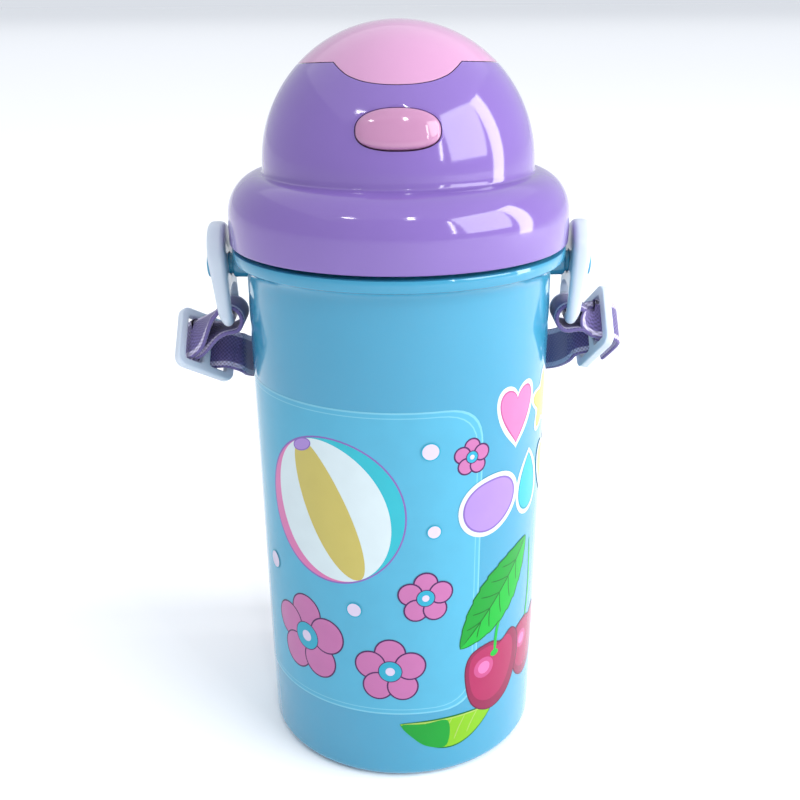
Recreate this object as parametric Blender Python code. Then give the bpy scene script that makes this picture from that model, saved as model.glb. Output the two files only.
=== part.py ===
"""Kids' water bottle with a screw cap, a push-button flip lid, a pop-up spout and a shoulder strap.

The bottle stands on its base at the origin, +Z is up, the button faces -Y. Lengths are in
millimetres in the constants and are scaled to metres where vertices are made.
"""

import math

import bmesh
import bpy
from mathutils import Matrix, Vector

MM = 0.001
SEGMENTS = 40

# Bottle
BASE_R = 36.125
RIM_R = 38.25
TAPER_TOP_Z = 135.0
WALL = 2.2
FLANGE_R = 41.5
FLANGE_TOP = 134.7
NECK_OUT_R = 35.8
NECK_IN_R = 33.5
NECK_TOP = 145.6
FILM_Z = (8.0, 118.0)

# Screw thread, single start and right hand
PITCH = 5.0
THREAD_Z0 = 139.4
NECK_CREST_R = 37.4
CAP_ROOT_R = 37.9
CAP_CREST_R = 36.3
RIDGE_HALF = 0.95
CREST_HALF = 0.45

# Cap
COLLAR_R = 42.0
COLLAR_BOTTOM = 135.7
COLLAR_SIDE_TOP = 142.6
CREASE_Z = 152.7
DOME_R = 33.15
DOME_Z = 154.35
DOME_WALL = 2.0
COLLAR_WALL = 2.35
DECK_Z = (147.7, 149.7)

# Lid and its hinge: y and z of the pin
HINGE = (28.4, 175.4)
PART_Z = 177.3
PART_SLOPE = -0.0737
LID_WALL = 1.8
LID_GAP = 0.35
KNUCKLE_R = 2.6
PIN_R = 0.95
PIN_BORE_R = 1.25

# Button
BUTTON_TILT = math.radians(19.66)
BUTTON_HALF_W = 9.25
BUTTON_UP = 4.7
BUTTON_DOWN = 4.3

# Spout and straw: y and z of the pivot
SPOUT_PIVOT = (8.0, 160.0)
SPOUT_LEAN = math.radians(66.0)
SPOUT_LENGTH = 27.0
STRAW_R = 3.5
STRAW_BORE_R = 2.5
VENT = (14.0, -6.0)

# Strap
LUG_Z = 129.5
RING_X = 43.1
WEB_WIDTH = 11.0
WEB_THICK = 1.1
HANK_LAYERS = 8
HANK_PITCH = 1.6
HANK_Y = 45.0
HANK_Z = (3.0, 79.0)
TRI_BAR = 2.4
TRI_SLOT = 5.0
TRI_WIDTH = 17.0


def clear_scene():
    for obj in list(bpy.data.objects):
        bpy.data.objects.remove(obj)


def body_r(z):
    """Outer radius of the tapered bottle wall at height z."""
    return BASE_R + (RIM_R - BASE_R) * z / TAPER_TOP_Z


def make_material(name, colour, roughness, metallic=0.0):
    material = bpy.data.materials.new(name)
    material.use_nodes = True
    shader = material.node_tree.nodes["Principled BSDF"]
    shader.inputs["Base Color"].default_value = (*colour, 1.0)
    shader.inputs["Roughness"].default_value = roughness
    shader.inputs["Metallic"].default_value = metallic
    return material


def to_object(name, bm, material=None, cutter=False):
    """Object from a bmesh in millimetres, shaded smooth with creases kept sharp."""
    bmesh.ops.scale(bm, vec=(MM, MM, MM), verts=bm.verts)
    bmesh.ops.recalc_face_normals(bm, faces=bm.faces)
    mesh = bpy.data.meshes.new(name)
    bm.to_mesh(mesh)
    bm.free()
    mesh.polygons.foreach_set("use_smooth", [True] * len(mesh.polygons))
    mesh.set_sharp_from_angle(angle=math.radians(35))
    obj = bpy.data.objects.new(name, mesh)
    bpy.context.scene.collection.objects.link(obj)
    if material:
        mesh.materials.append(material)
    if cutter:
        obj.hide_render = True
        obj.display_type = "WIRE"
    return obj


def boolean(target, other, operation):
    modifier = target.modifiers.new(other.name, "BOOLEAN")
    modifier.operation = operation
    modifier.solver = "EXACT"
    modifier.object = other


def revolve(profile, segments=SEGMENTS, closed=False, centre=(0.0, 0.0)):
    """Bmesh of an (r, z) profile spun about the vertical through centre."""
    bm = bmesh.new()
    verts = [bm.verts.new((centre[0] + r, centre[1], z)) for r, z in profile]
    pairs = list(zip(verts, verts[1:]))
    if closed:
        pairs.append((verts[-1], verts[0]))
    edges = [bm.edges.new(pair) for pair in pairs]
    bmesh.ops.spin(
        bm,
        geom=verts + edges,
        cent=(centre[0], centre[1], 0.0),
        axis=(0.0, 0.0, 1.0),
        angle=2 * math.pi,
        steps=segments,
        use_merge=True,
    )
    bmesh.ops.remove_doubles(bm, verts=bm.verts, dist=1e-4)
    return bm


def prism(outline, axis, low, high):
    """Bmesh of a 2-D outline swept along axis X, Y or Z from low to high."""
    order = {"X": lambda a, b, c: (c, a, b), "Y": lambda a, b, c: (a, c, b), "Z": lambda a, b, c: (a, b, c)}
    place = order[axis]
    bm = bmesh.new()
    face = bm.faces.new([bm.verts.new(place(a, b, low)) for a, b in outline])
    extruded = bmesh.ops.extrude_face_region(bm, geom=[face])
    moved = [item for item in extruded["geom"] if isinstance(item, bmesh.types.BMVert)]
    bmesh.ops.translate(bm, verts=moved, vec=place(0.0, 0.0, high - low))
    return bm


def box(low, high):
    outline = [(low[0], low[1]), (high[0], low[1]), (high[0], high[1]), (low[0], high[1])]
    return prism(outline, "Z", low[2], high[2])


def loft(rings, closed_ends=True):
    """Bmesh joining rings of equal point counts, with both ends filled."""
    bm = bmesh.new()
    made = [[bm.verts.new(point) for point in ring] for ring in rings]
    count = len(made[0])
    for first, second in zip(made, made[1:]):
        for i in range(count):
            j = (i + 1) % count
            bm.faces.new((first[i], first[j], second[j], second[i]))
    if closed_ends:
        bm.faces.new(list(reversed(made[0])))
        bm.faces.new(made[-1])
    return bm


def cylinder_x(radius, low, high, y=0.0, z=0.0, sides=24):
    outline = [
        (y + radius * math.cos(2 * math.pi * i / sides), z + radius * math.sin(2 * math.pi * i / sides))
        for i in range(sides)
    ]
    return prism(outline, "X", low, high)


def arc(centre, radius, start, end, steps):
    """Points (a, b) on an arc, angles in degrees, both ends included."""
    turn = [math.radians(start + (end - start) * i / steps) for i in range(steps + 1)]
    return [(centre[0] + radius[0] * math.cos(t), centre[1] + radius[1] * math.sin(t)) for t in turn]


def thread(name, root_r, crest_r, start_turn, end_turn, offset_z):
    """Helical ridge, sunk 0.4 mm into the wall it grows from, with tapered ends."""
    steps = int(round((end_turn - start_turn) * 36))
    sink = 0.4 if crest_r > root_r else -0.4
    rings = []
    for i in range(steps + 1):
        turn = start_turn + (end_turn - start_turn) * i / steps
        grow = min(1.0, 0.12 + min(i, steps - i) / 3.0)
        angle = 2 * math.pi * turn
        z = THREAD_Z0 + offset_z + PITCH * turn
        crest = root_r + (crest_r - root_r) * grow
        section = [
            (root_r - sink, -RIDGE_HALF),
            (crest, -CREST_HALF * grow),
            (crest, CREST_HALF * grow),
            (root_r - sink, RIDGE_HALF),
        ]
        rings.append([(r * math.cos(angle), r * math.sin(angle), z + h) for r, h in section])
    return to_object(name, loft(rings), cutter=True)


def make_bottle(material):
    cove = [(38.35, 129.9), (38.9, 130.9), (39.9, 131.6), (41.0, 131.9)]
    profile = [(0.0, 0.0), (24.0, 0.0), (24.7, 0.7), (27.3, 0.7), (28.0, 0.0)]
    profile += [(34.2, 0.0), (35.3, 0.35), (35.95, 1.15), (body_r(2.4), 2.4), (body_r(128.8), 128.8)]
    profile += cove
    profile += [(FLANGE_R, 132.3), (FLANGE_R, 134.3), (FLANGE_R - 0.4, FLANGE_TOP)]
    profile += [(NECK_OUT_R, FLANGE_TOP), (NECK_OUT_R, NECK_TOP - 0.4), (NECK_OUT_R - 0.4, NECK_TOP)]
    profile += [(NECK_IN_R + 0.4, NECK_TOP), (NECK_IN_R, NECK_TOP - 0.4), (NECK_IN_R, 136.0)]
    profile += [(body_r(131.0) - WALL, 131.5), (body_r(5.0) - WALL, 5.0), (32.4, 3.1), (30.4, 2.5), (0.0, 2.5)]
    bottle = to_object("bottle_body", revolve(profile), material)
    ridge = thread("neck_thread_ridge", NECK_OUT_R, NECK_CREST_R, 0.0, 1.0, 0.0)
    boolean(bottle, ridge, "UNION")
    for side, name in ((-1, "left"), (1, "right")):
        lug = lug_solid(f"{name}_lug_solid", side)
        boolean(bottle, lug, "UNION")
    return bottle


def lug_solid(name, side):
    """Stepped stud along X: arm under the flange, post for the ring, and a head."""
    steps = [(36.9, 3.5), (41.6, 3.5), (41.6, 2.6), (47.1, 2.6), (47.1, 3.3), (47.4, 3.6), (48.9, 3.6), (49.4, 3.1)]
    rings = []
    for x, radius in steps:
        ring = []
        for i in range(20):
            turn = 2 * math.pi * i / 20
            ring.append((side * x, radius * math.cos(turn), LUG_Z + radius * math.sin(turn)))
        rings.append(ring)
    return to_object(name, loft(rings), cutter=True)


def make_film(material):
    low, high = FILM_Z
    profile = [(body_r(low) + 0.5, low), (body_r(high) + 0.5, high), (body_r(high) + 0.3, high), (body_r(low) + 0.3, low)]
    return to_object("print_film", revolve(profile, closed=True), material)


def make_seal(material):
    profile = [(33.3, 145.9), (36.2, 145.9), (36.2, 147.4), (33.3, 147.4)]
    return to_object("seal_ring", revolve(profile, closed=True), material)


def dome_point(radius, degrees):
    turn = math.radians(degrees)
    return (radius * math.cos(turn), DOME_Z + radius * math.sin(turn))


def make_cap_shell(material):
    rise = CREASE_Z - COLLAR_SIDE_TOP
    outer = [(COLLAR_R - 0.6, COLLAR_BOTTOM), (COLLAR_R, COLLAR_BOTTOM + 0.6), (COLLAR_R, COLLAR_SIDE_TOP)]
    outer += arc((DOME_R, COLLAR_SIDE_TOP), (COLLAR_R - DOME_R, rise), 0, 84, 7)[1:]
    outer += [(DOME_R + 0.35, CREASE_Z + 0.05), (DOME_R, CREASE_Z + 0.6)]
    outer += [dome_point(DOME_R, degrees) for degrees in range(0, 81, 8)]
    inner_r = DOME_R - DOME_WALL
    inner = [dome_point(inner_r, degrees) for degrees in range(80, -1, -8)]
    bore = COLLAR_R - COLLAR_WALL
    inner += [(inner_r, 150.5), (DOME_R, 150.5)]
    inner += arc((DOME_R, COLLAR_SIDE_TOP), (bore - DOME_R, 7.9), 78, 0, 5)
    inner += [(bore, COLLAR_BOTTOM + 0.5), (bore + 0.4, COLLAR_BOTTOM)]
    shell = to_object("cap_shell", revolve(outer + inner, closed=True), material)
    for piece in parting_solids("opening", 0.0):
        boolean(shell, piece, "DIFFERENCE")
    boolean(shell, button_hole(), "DIFFERENCE")
    notch = to_object("knuckle_notch", cylinder_x(3.0, -5.9, 5.9, *HINGE), cutter=True)
    boolean(shell, notch, "DIFFERENCE")
    for side, name in ((-1, "left"), (1, "right")):
        knuckle = cylinder_x(KNUCKLE_R, side * 6.2, side * 9.2, *HINGE)
        boolean(shell, to_object(f"{name}_cap_knuckle", knuckle, cutter=True), "UNION")
        low, high = sorted((side * 6.2, side * 9.2))
        web = box((low, 24.6, 172.9), (high, HINGE[0], 174.9))
        boolean(shell, to_object(f"{name}_cap_web", web, cutter=True), "UNION")
    bore = to_object("cap_pin_bore", cylinder_x(PIN_BORE_R, -10.0, 10.0, *HINGE, sides=16), cutter=True)
    boolean(shell, bore, "DIFFERENCE")
    return shell


def parting_z(y):
    return PART_Z + PART_SLOPE * y


def lobe_outline(inset):
    """Front tongue of the lid in X and Z, shrunk by inset."""
    half = [(0.0, 174.3), (4.0, 174.45), (8.0, 175.0), (11.3, 176.2), (13.4, 177.6), (15.2, 179.4), (15.6, 182.0)]
    right = [(x - inset * min(1.0, x / 8.0), z + inset * (1.0 - 0.3 * x / 15.6)) for x, z in half]
    left = [(-x, z) for x, z in reversed(right[1:])]
    return right + left


def parting_solids(name, inset):
    """The space above the tilted parting plane, and the tongue's space below it at the front."""
    reach = 45.0
    upper = [(-reach, parting_z(-reach) + inset), (reach, parting_z(reach) + inset), (reach, 200.0), (-reach, 200.0)]
    plane = to_object(f"{name}_plane", prism(upper, "X", -reach, reach), cutter=True)
    tongue = to_object(f"{name}_tongue", prism(lobe_outline(inset), "Y", -reach, -12.0), cutter=True)
    return plane, tongue


def make_lid(material):
    outer = [dome_point(DOME_R, degrees) for degrees in (32, 38, 44, 51, 58, 65, 72, 79, 85)]
    inner = [dome_point(DOME_R - LID_WALL, degrees) for degrees in (85, 79, 72, 65, 58, 51, 44, 38, 32)]
    profile = [(0.0, DOME_Z + DOME_R - LID_WALL)] + inner + outer + [(0.0, DOME_Z + DOME_R)]
    lid = to_object("lid_shell", revolve(profile), material)
    plane, tongue = parting_solids("lid", LID_GAP)
    boolean(plane, tongue, "UNION")
    boolean(lid, plane, "INTERSECT")
    for side, name in ((-1, "left"), (1, "right")):
        knuckle = cylinder_x(KNUCKLE_R, side * 3.1, side * 5.6, *HINGE)
        boolean(lid, to_object(f"{name}_lid_knuckle", knuckle, cutter=True), "UNION")
        low, high = sorted((side * 3.1, side * 5.6))
        web = box((low, 22.9, 176.1), (high, HINGE[0], 177.9))
        boolean(lid, to_object(f"{name}_lid_web", web, cutter=True), "UNION")
    tab = to_object("catch_tab", box((-3.5, -23.2, 171.2), (3.5, -21.7, 177.0)), cutter=True)
    boolean(lid, tab, "UNION")
    bore = to_object("lid_pin_bore", cylinder_x(PIN_BORE_R, -7.0, 7.0, *HINGE, sides=16), cutter=True)
    boolean(lid, bore, "DIFFERENCE")
    return lid


def make_lid_liner(material):
    angles = (53, 60, 68, 76, 84)
    outer = [dome_point(31.0, degrees) for degrees in angles]
    inner = [dome_point(29.5, degrees) for degrees in reversed(angles)]
    profile = [(0.0, DOME_Z + 29.5)] + inner + outer + [(0.0, DOME_Z + 31.0)]
    return to_object("lid_liner", revolve(profile, segments=32), material)


def make_pin(material):
    return to_object("hinge_pin", cylinder_x(PIN_R, -9.0, 9.0, *HINGE, sides=12), material)


def tube(points, radius, sides):
    """Bmesh of a round wire along points."""
    path = [Vector(point) for point in points]
    rings = []
    up = Vector((0.0, 0.0, 1.0))
    for i, point in enumerate(path):
        ahead = path[min(i + 1, len(path) - 1)] - path[max(i - 1, 0)]
        tangent = ahead.normalized()
        side = tangent.cross(up)
        if side.length < 0.2:
            side = tangent.cross(Vector((0.0, 1.0, 0.0)))
        side.normalize()
        if i and side.dot(last) < 0.3:
            side = (last - tangent * last.dot(tangent)).normalized()
        last = side
        other = tangent.cross(side)
        turn = [2 * math.pi * k / sides for k in range(sides)]
        rings.append([point + (side * math.cos(t) + other * math.sin(t)) * radius for t in turn])
    return loft(rings)


def make_lid_spring(material):
    """Torsion coil round the pin between the lid's knuckles, with a leg on the lid and one on the cap."""
    y, z = HINGE
    coil_r = 1.95
    turns = 4.25
    steps = 48
    points = [(-2.3, y - 4.0, z + 3.0), (-2.3, y - 1.6, z + 2.25)]
    for i in range(steps + 1):
        turn = 2 * math.pi * turns * i / steps
        points.append((-2.3 + 4.6 * i / steps, y + coil_r * math.sin(turn), z + coil_r * math.cos(turn)))
    points += [(2.3, y + coil_r + 0.1, z - 2.0), (2.3, y + coil_r + 0.3, z - 4.5)]
    return to_object("lid_spring", tube(points, 0.3, 5), material)


def button_frame():
    """Centre on the dome, the outward normal, and the tangent that points up."""
    normal = Vector((0.0, -math.cos(BUTTON_TILT), math.sin(BUTTON_TILT)))
    up = Vector((0.0, math.sin(BUTTON_TILT), math.cos(BUTTON_TILT)))
    return Vector((0.0, 0.0, DOME_Z)) + normal * DOME_R, normal, up


def button_outline(grow_x, grow_up, grow_down, count=28):
    """Oval with a flatter lower edge, as (x, up) pairs."""
    points = []
    for i in range(count):
        turn = 2 * math.pi * i / count
        x = math.copysign(abs(math.cos(turn)) ** 0.86, math.cos(turn)) * (BUTTON_HALF_W + grow_x)
        lift = math.copysign(abs(math.sin(turn)) ** 0.80, math.sin(turn))
        points.append((x, lift * (BUTTON_UP + grow_up if lift > 0 else BUTTON_DOWN + grow_down)))
    return points


def button_ring(outline, scale, height, follow):
    """The outline scaled and placed at a height, following the dome's curve where follow is 1."""
    centre, normal, up = button_frame()
    ring = []
    for x, lift in outline:
        a = x * scale
        b = lift * scale
        out = height - follow * (a * a + b * b) / (2 * DOME_R)
        ring.append(centre + Vector((a, 0.0, 0.0)) + up * b + normal * out)
    return ring


def button_hole():
    outline = button_outline(0.4, 0.4, 0.65)
    rings = [button_ring(outline, 1.0, height, 0) for height in (-6.0, 4.0)]
    return to_object("button_opening", loft(rings), cutter=True)


def make_button(material):
    outline = button_outline(0.0, 0.0, 0.0)
    levels = [(1.15, -6.1, 0), (1.15, -4.9, 0), (1.0, -4.9, 0), (1.0, 0.1, 1), (0.975, 0.6, 1)]
    levels += [(0.92, 0.95, 1), (0.8, 1.2, 1), (0.6, 1.35, 1), (0.3, 1.45, 1)]
    rings = [button_ring(outline, *level) for level in levels]
    button = to_object("button", loft(rings), material)
    centre, normal, up = button_frame()
    arm = [centre + Vector((x, 0.0, 0.0)) + up * b for x, b in ((-3.0, 4.0), (3.0, 4.0), (3.0, 6.8), (-3.0, 6.8))]
    rings = [[point + normal * depth for point in arm] for depth in (-5.9, -4.95)]
    boolean(button, to_object("latch_arm", loft(rings), cutter=True), "UNION")
    return button


def make_button_spring(material):
    centre, normal, up = button_frame()
    points = []
    steps = 44
    for i in range(steps + 1):
        turn = 2 * math.pi * 4 * i / steps
        depth = -6.85 - 4.6 * i / steps
        ring = Vector((math.cos(turn), 0.0, 0.0)) + up * math.sin(turn)
        points.append(centre + normal * depth + ring * 2.3)
    return to_object("button_spring", tube(points, 0.3, 5), material)


def make_insert(material):
    inner = [(37.9, 136.0), (37.9, 145.7), (36.6, 146.4), (36.6, DECK_Z[0]), (0.0, DECK_Z[0])]
    outer = arc((DOME_R, COLLAR_SIDE_TOP), (6.15, 7.55), 0, 70, 5)
    outer = [(39.3, 136.0)] + outer[:-1] + [(35.2, DECK_Z[1])]
    rib = [(30.7, DECK_Z[1]), (30.7, 152.2), (28.9, 152.2), (28.9, DECK_Z[1])]
    profile = list(reversed(inner)) + outer + rib + [(0.0, DECK_Z[1])]
    insert = to_object("cap_insert", revolve(profile), material)
    ridge = thread("cap_thread_ridge", CAP_ROOT_R, CAP_CREST_R, 0.05, 1.35, -PITCH / 2)
    boolean(insert, ridge, "UNION")
    post = to_object("spring_post", box((-3.6, -19.4, 149.2), (3.6, -17.6, 164.4)), cutter=True)
    boolean(insert, post, "UNION")
    hole = revolve([(0.0, 140.0), (3.9, 140.0), (3.9, 155.0), (0.0, 155.0)], 20, centre=(0.0, SPOUT_PIVOT[0]))
    boolean(insert, to_object("straw_hole", hole, cutter=True), "DIFFERENCE")
    vent = revolve([(0.0, 140.0), (1.7, 140.0), (1.7, 155.0), (0.0, 155.0)], 12, centre=VENT)
    boolean(insert, to_object("vent_hole", vent, cutter=True), "DIFFERENCE")
    return insert


def make_vent_valve(material):
    profile = [(0.0, 145.6), (1.9, 146.3), (1.9, 147.3), (1.3, 147.3), (1.3, 150.05), (3.4, 150.05)]
    profile += [(3.4, 150.7), (2.2, 151.4), (0.0, 151.6)]
    return to_object("vent_valve", revolve(profile, 16, centre=VENT), material)


def make_spout_base(material):
    y, z = SPOUT_PIVOT
    profile = [(3.9, 150.0), (7.6, 150.0), (7.6, 154.6), (6.9, 155.4), (2.5, 155.4), (2.5, 153.4), (3.9, 153.4)]
    base = to_object("spout_base", revolve(profile, 24, closed=True, centre=(0.0, y)), material)
    for side, name in ((-1, "left"), (1, "right")):
        low, high = sorted((side * 4.0, side * 5.8))
        ear = prism([(y - 3.0, 154.9), (y + 3.0, 154.9), (y + 2.4, z + 2.2), (y - 2.4, z + 2.2)], "X", low, high)
        boolean(base, to_object(f"{name}_spout_ear", ear, cutter=True), "UNION")
    bore = cylinder_x(1.5, -7.0, 7.0, y, z, 16)
    boolean(base, to_object("spout_bore", bore, cutter=True), "DIFFERENCE")
    return base


def make_spout(material):
    """Mouthpiece lying forward under the lid: a barrel on trunnions and a bored tube with a lip."""
    y, z = SPOUT_PIVOT
    barrel = to_object("spout", cylinder_x(3.6, -3.6, 3.6, y, z, 20), material)
    trunnion = to_object("spout_trunnion", cylinder_x(1.15, -5.6, 5.6, y, z, 12), cutter=True)
    boolean(barrel, trunnion, "UNION")
    profile = [(0.0, 0.5), (3.4, 0.5), (3.4, 22.6), (4.1, 23.6), (4.1, 25.8), (3.4, SPOUT_LENGTH), (0.0, SPOUT_LENGTH)]
    tilt = Matrix.Translation((0.0, y, z)) @ Matrix.Rotation(SPOUT_LEAN, 4, "X")
    stem = revolve(profile, 20)
    bmesh.ops.transform(stem, matrix=tilt, verts=stem.verts)
    boolean(barrel, to_object("spout_stem", stem, cutter=True), "UNION")
    channel = revolve([(0.0, -6.0), (2.1, -6.0), (2.1, 30.0), (0.0, 30.0)], 16)
    bmesh.ops.transform(channel, matrix=tilt, verts=channel.verts)
    boolean(barrel, to_object("spout_channel", channel, cutter=True), "DIFFERENCE")
    return barrel


def make_straw(material):
    top = 153.1
    profile = [(STRAW_BORE_R, 6.0), (STRAW_R, 6.0), (STRAW_R, top), (STRAW_BORE_R, top)]
    return to_object("straw", revolve(profile, 16, closed=True, centre=(0.0, SPOUT_PIVOT[0])), material)


def ring_outline(scale_y, low, high, centre_z, corner):
    """Rounded outline in Y and Z whose top is a half circle and whose foot has round corners."""
    top = arc((0.0, centre_z), (scale_y, high - centre_z), 0, 180, 12)
    left = arc((-scale_y + corner, low + corner), (corner, corner), 180, 270, 4)
    right = arc((scale_y - corner, low + corner), (corner, corner), 270, 360, 4)
    return top + left + right


def lean_x(z):
    """Outward shift of the strap ring with height: it leans in at the foot."""
    return (z - LUG_Z) * 0.06


def make_ring(name, side, material):
    """Flat ring on the lug, with a hole for the post and a slot for the webbing, thinner at its foot."""
    outline = ring_outline(8.4, 114.5, 140.0, 131.6, 3.2)
    rings = []
    for inner in (True, False):
        ring = []
        for y, z in outline:
            thick = 2.8 + 1.5 * min(1.0, max(0.0, (z - 116.0) / 6.0))
            x = RING_X - 0.55 + lean_x(z) + (0.0 if inner else thick)
            ring.append((side * x, y, z))
        rings.append(ring)
    body = to_object(name, loft(rings), material)
    slot = prism(ring_outline(5.95, 117.3, 124.4, 121.4, 1.4), "X", side * 36.0, side * 52.0)
    boolean(body, to_object(f"{name}_slot", slot, cutter=True), "DIFFERENCE")
    hole = cylinder_x(3.05, side * 36.0, side * 52.0, 0.0, LUG_Z, 20)
    boolean(body, to_object(f"{name}_hole", hole, cutter=True), "DIFFERENCE")
    return body


class StrapSide:
    """Local frame of one slide adjuster: u towards the body, v across the webbing, n towards the ring."""

    def __init__(self, side, centre, swing, slack):
        self.side = side
        self.centre = Vector(centre)
        turn = math.radians(swing)
        lean = math.radians(45)
        self.u = Vector((-side * math.cos(turn), math.sin(turn) * math.cos(lean), -math.sin(turn) * math.sin(lean)))
        self.v = Vector((0.0, math.sin(lean), math.cos(lean)))
        self.n = self.u.cross(self.v) * -side
        self.slack = slack

    def at(self, u, n, v=0.0):
        return self.centre + self.u * u + self.n * n + self.v * v


LEFT = StrapSide(-1, (-50.8, 3.5, 106.9), 43.0, 0.0)
RIGHT = StrapSide(1, (50.4, 2.6, 111.2), 72.0, 0.8)


def make_adjuster(name, strap, material):
    """Three-bar slide: a rounded frame with two slots."""
    half_u = 1.5 * TRI_BAR + TRI_SLOT
    half_v = TRI_WIDTH / 2
    corner = 2.6
    outline = []
    for cu, cv, start in ((1, 1, 0), (-1, 1, 90), (-1, -1, 180), (1, -1, 270)):
        centre = (cu * (half_u - corner), cv * (half_v - corner))
        outline += arc(centre, (corner, corner), start, start + 90, 4)
    levels = ((-1.1, 0.35), (-0.75, 0.0), (0.75, 0.0), (1.1, 0.35))
    rings = []
    for n, inset in levels:
        shrink_u = (half_u - inset) / half_u
        shrink_v = (half_v - inset) / half_v
        rings.append([strap.at(u * shrink_u, n, v * shrink_v) for u, v in outline])
    frame = to_object(name, loft(rings), material)
    for side, label in ((-1, "outer"), (1, "inner")):
        low = side * (TRI_BAR + TRI_SLOT) / 2
        reach_u = TRI_SLOT / 2
        reach_v = half_v - TRI_BAR
        corners = [(-reach_u, -reach_v), (reach_u, -reach_v), (reach_u, reach_v), (-reach_u, reach_v)]
        rings = [[strap.at(low + u, n, v) for u, v in corners] for n in (-2.0, 2.0)]
        boolean(frame, to_object(f"{name}_{label}_slot", loft(rings), cutter=True), "DIFFERENCE")
    return frame


def catmull(points, steps):
    """Smooth curve through points, with steps pieces in each span."""
    path = [Vector(point) for point in points]
    path = [path[0] * 2 - path[1]] + path + [path[-1] * 2 - path[-2]]
    made = []
    for a, b, c, d in zip(path, path[1:], path[2:], path[3:]):
        for i in range(steps):
            t = i / steps
            first = (b * 2) + (c - a) * t
            second = (a * 2 - b * 5 + c * 4 - d) * t * t
            third = (b * 3 - a - c * 3 + d) * t * t * t
            made.append((first + second + third) * 0.5)
    made.append(path[-2])
    return made


def ring_loop(strap):
    """Webbing round the ring's foot bar, from the upper layer to the lower one."""
    bar = Vector((strap.side * (RING_X - 0.55 + 1.4 + lean_x(115.9)), 0.0, 115.9))
    toward = strap.at(-3.75, 1.0) - bar
    toward = Vector((toward.x, 0.0, toward.z)).normalized()
    above = Vector((-toward.z * strap.side, 0.0, toward.x * strap.side))
    if above.z < 0:
        above = -above
    radius = 3.4
    angles = [math.radians(a) for a in range(62, 299, 30)]
    made = [bar + (toward * math.cos(a) + above * math.sin(a)) * radius for a in angles]
    return [bar + toward * 3.9 + above * 2.2] + made + [bar + toward * 3.9 - above * 2.2]


def strap_end(strap):
    """(point, width direction) stations of one end: tail, slide, ring and slide again, as far as the main run."""
    v = strap.v
    y = Vector((0.0, 1.0, 0.0))
    k = strap.slack
    tail = [(6.5, -4.7 - k), (1.0, -4.7 - 1.2 * k), (-2.6, -4.3 - 1.2 * k), (-4.35, -2.3 - k), (-4.6, 0.0), (-4.6, 2.4)]
    main = [(-2.9, 2.2), (-2.9, 0.0), (-2.55, -1.6), (-1.2, -2.6 - 0.4 * k), (0.5, -2.6 - 0.4 * k)]
    main += [(2.0, -1.85), (3.7, 0.0), (5.4, 1.85), (7.3, 2.45), (10.0, 2.5)]
    loop = ring_loop(strap)
    stations = [(strap.at(*point), v) for point in tail]
    stations += [(point, y) for point in loop]
    stations += [(strap.at(*point), v) for point in main]
    return stations


def smooth_stations(stations, steps):
    points = catmull([point for point, _ in stations], steps)
    widths = catmull([width for _, width in stations], steps)
    return list(zip(points, widths))


def hank_stations():
    """The folded length behind the bottle, entering at the top left and leaving at the top right."""
    y = Vector((0.0, 1.0, 0.0))
    low, high = HANK_Z
    radius = HANK_PITCH / 2
    first = -HANK_PITCH * (HANK_LAYERS - 1) / 2
    points = []
    for layer in range(HANK_LAYERS):
        x = first + HANK_PITCH * layer
        down = layer % 2 == 0
        ends = (high, low) if down else (low, high)
        points += [(x, HANK_Y, ends[0]), (x, HANK_Y, (low + high) / 2), (x, HANK_Y, ends[1])]
        if layer == HANK_LAYERS - 1:
            break
        sign = -1 if down else 1
        fold = [math.radians(a) for a in (36, 72, 108, 144)]
        points += [(x + radius - radius * math.cos(a), HANK_Y, ends[1] + sign * radius * math.sin(a)) for a in fold]
    return [(Vector(point), y) for point in points]


def make_webbing(material):
    """One length of webbing: left end, run behind the bottle, hank, run and right end."""
    y = Vector((0.0, 1.0, 0.0))
    tall = Vector((0.0, 0.5, 0.86))
    left = strap_end(LEFT)
    left += [((-40.2, 16.0, 99.6), tall), ((-33.5, 28.5, 95.6), tall), ((-22.0, 38.6, 91.6), tall)]
    left += [((-11.5, 44.0, 88.0), Vector((0.0, 0.8, 0.6))), ((-6.9, 45.0, 84.4), y), ((-5.6, 45.0, 80.5), y)]
    right = strap_end(RIGHT)
    right += [((42.2, 18.0, 100.6), tall), ((35.0, 29.0, 96.4), tall), ((23.0, 38.9, 92.0), tall)]
    right += [((11.5, 44.0, 88.0), Vector((0.0, 0.8, 0.6))), ((6.9, 45.0, 84.4), y), ((5.6, 45.0, 80.5), y)]
    stations = smooth_stations(left, 2) + hank_stations() + list(reversed(smooth_stations(right, 2)))
    rings = []
    for i, (point, width) in enumerate(stations):
        tangent = (stations[min(i + 1, len(stations) - 1)][0] - stations[max(i - 1, 0)][0]).normalized()
        across = (width - tangent * width.dot(tangent)).normalized() * (WEB_WIDTH / 2)
        thick = tangent.cross(across).normalized() * (WEB_THICK / 2)
        rings.append([point + across + thick, point - across + thick, point - across - thick, point + across - thick])
    return to_object("strap_webbing", loft(rings), material)


def make_tie(material):
    """Elastic band round the hank."""
    half_x = HANK_PITCH * (HANK_LAYERS - 1) / 2 + WEB_THICK / 2 + 0.35
    half_y = WEB_WIDTH / 2 + 0.35
    rings = []
    for grow, z in ((0.0, 38.0), (0.8, 38.0), (0.8, 43.0), (0.0, 43.0)):
        outline = []
        for sx, sy, start in ((1, 1, 0), (-1, 1, 90), (-1, -1, 180), (1, -1, 270)):
            outline += arc((sx * half_x, HANK_Y + sy * half_y), (grow, grow), start, start + 90, 3)
        rings.append([(x, y, z) for x, y in outline])
    bm = loft(rings + [rings[0]], closed_ends=False)
    bmesh.ops.remove_doubles(bm, verts=bm.verts, dist=1e-4)
    return to_object("strap_tie", bm, material)


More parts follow.
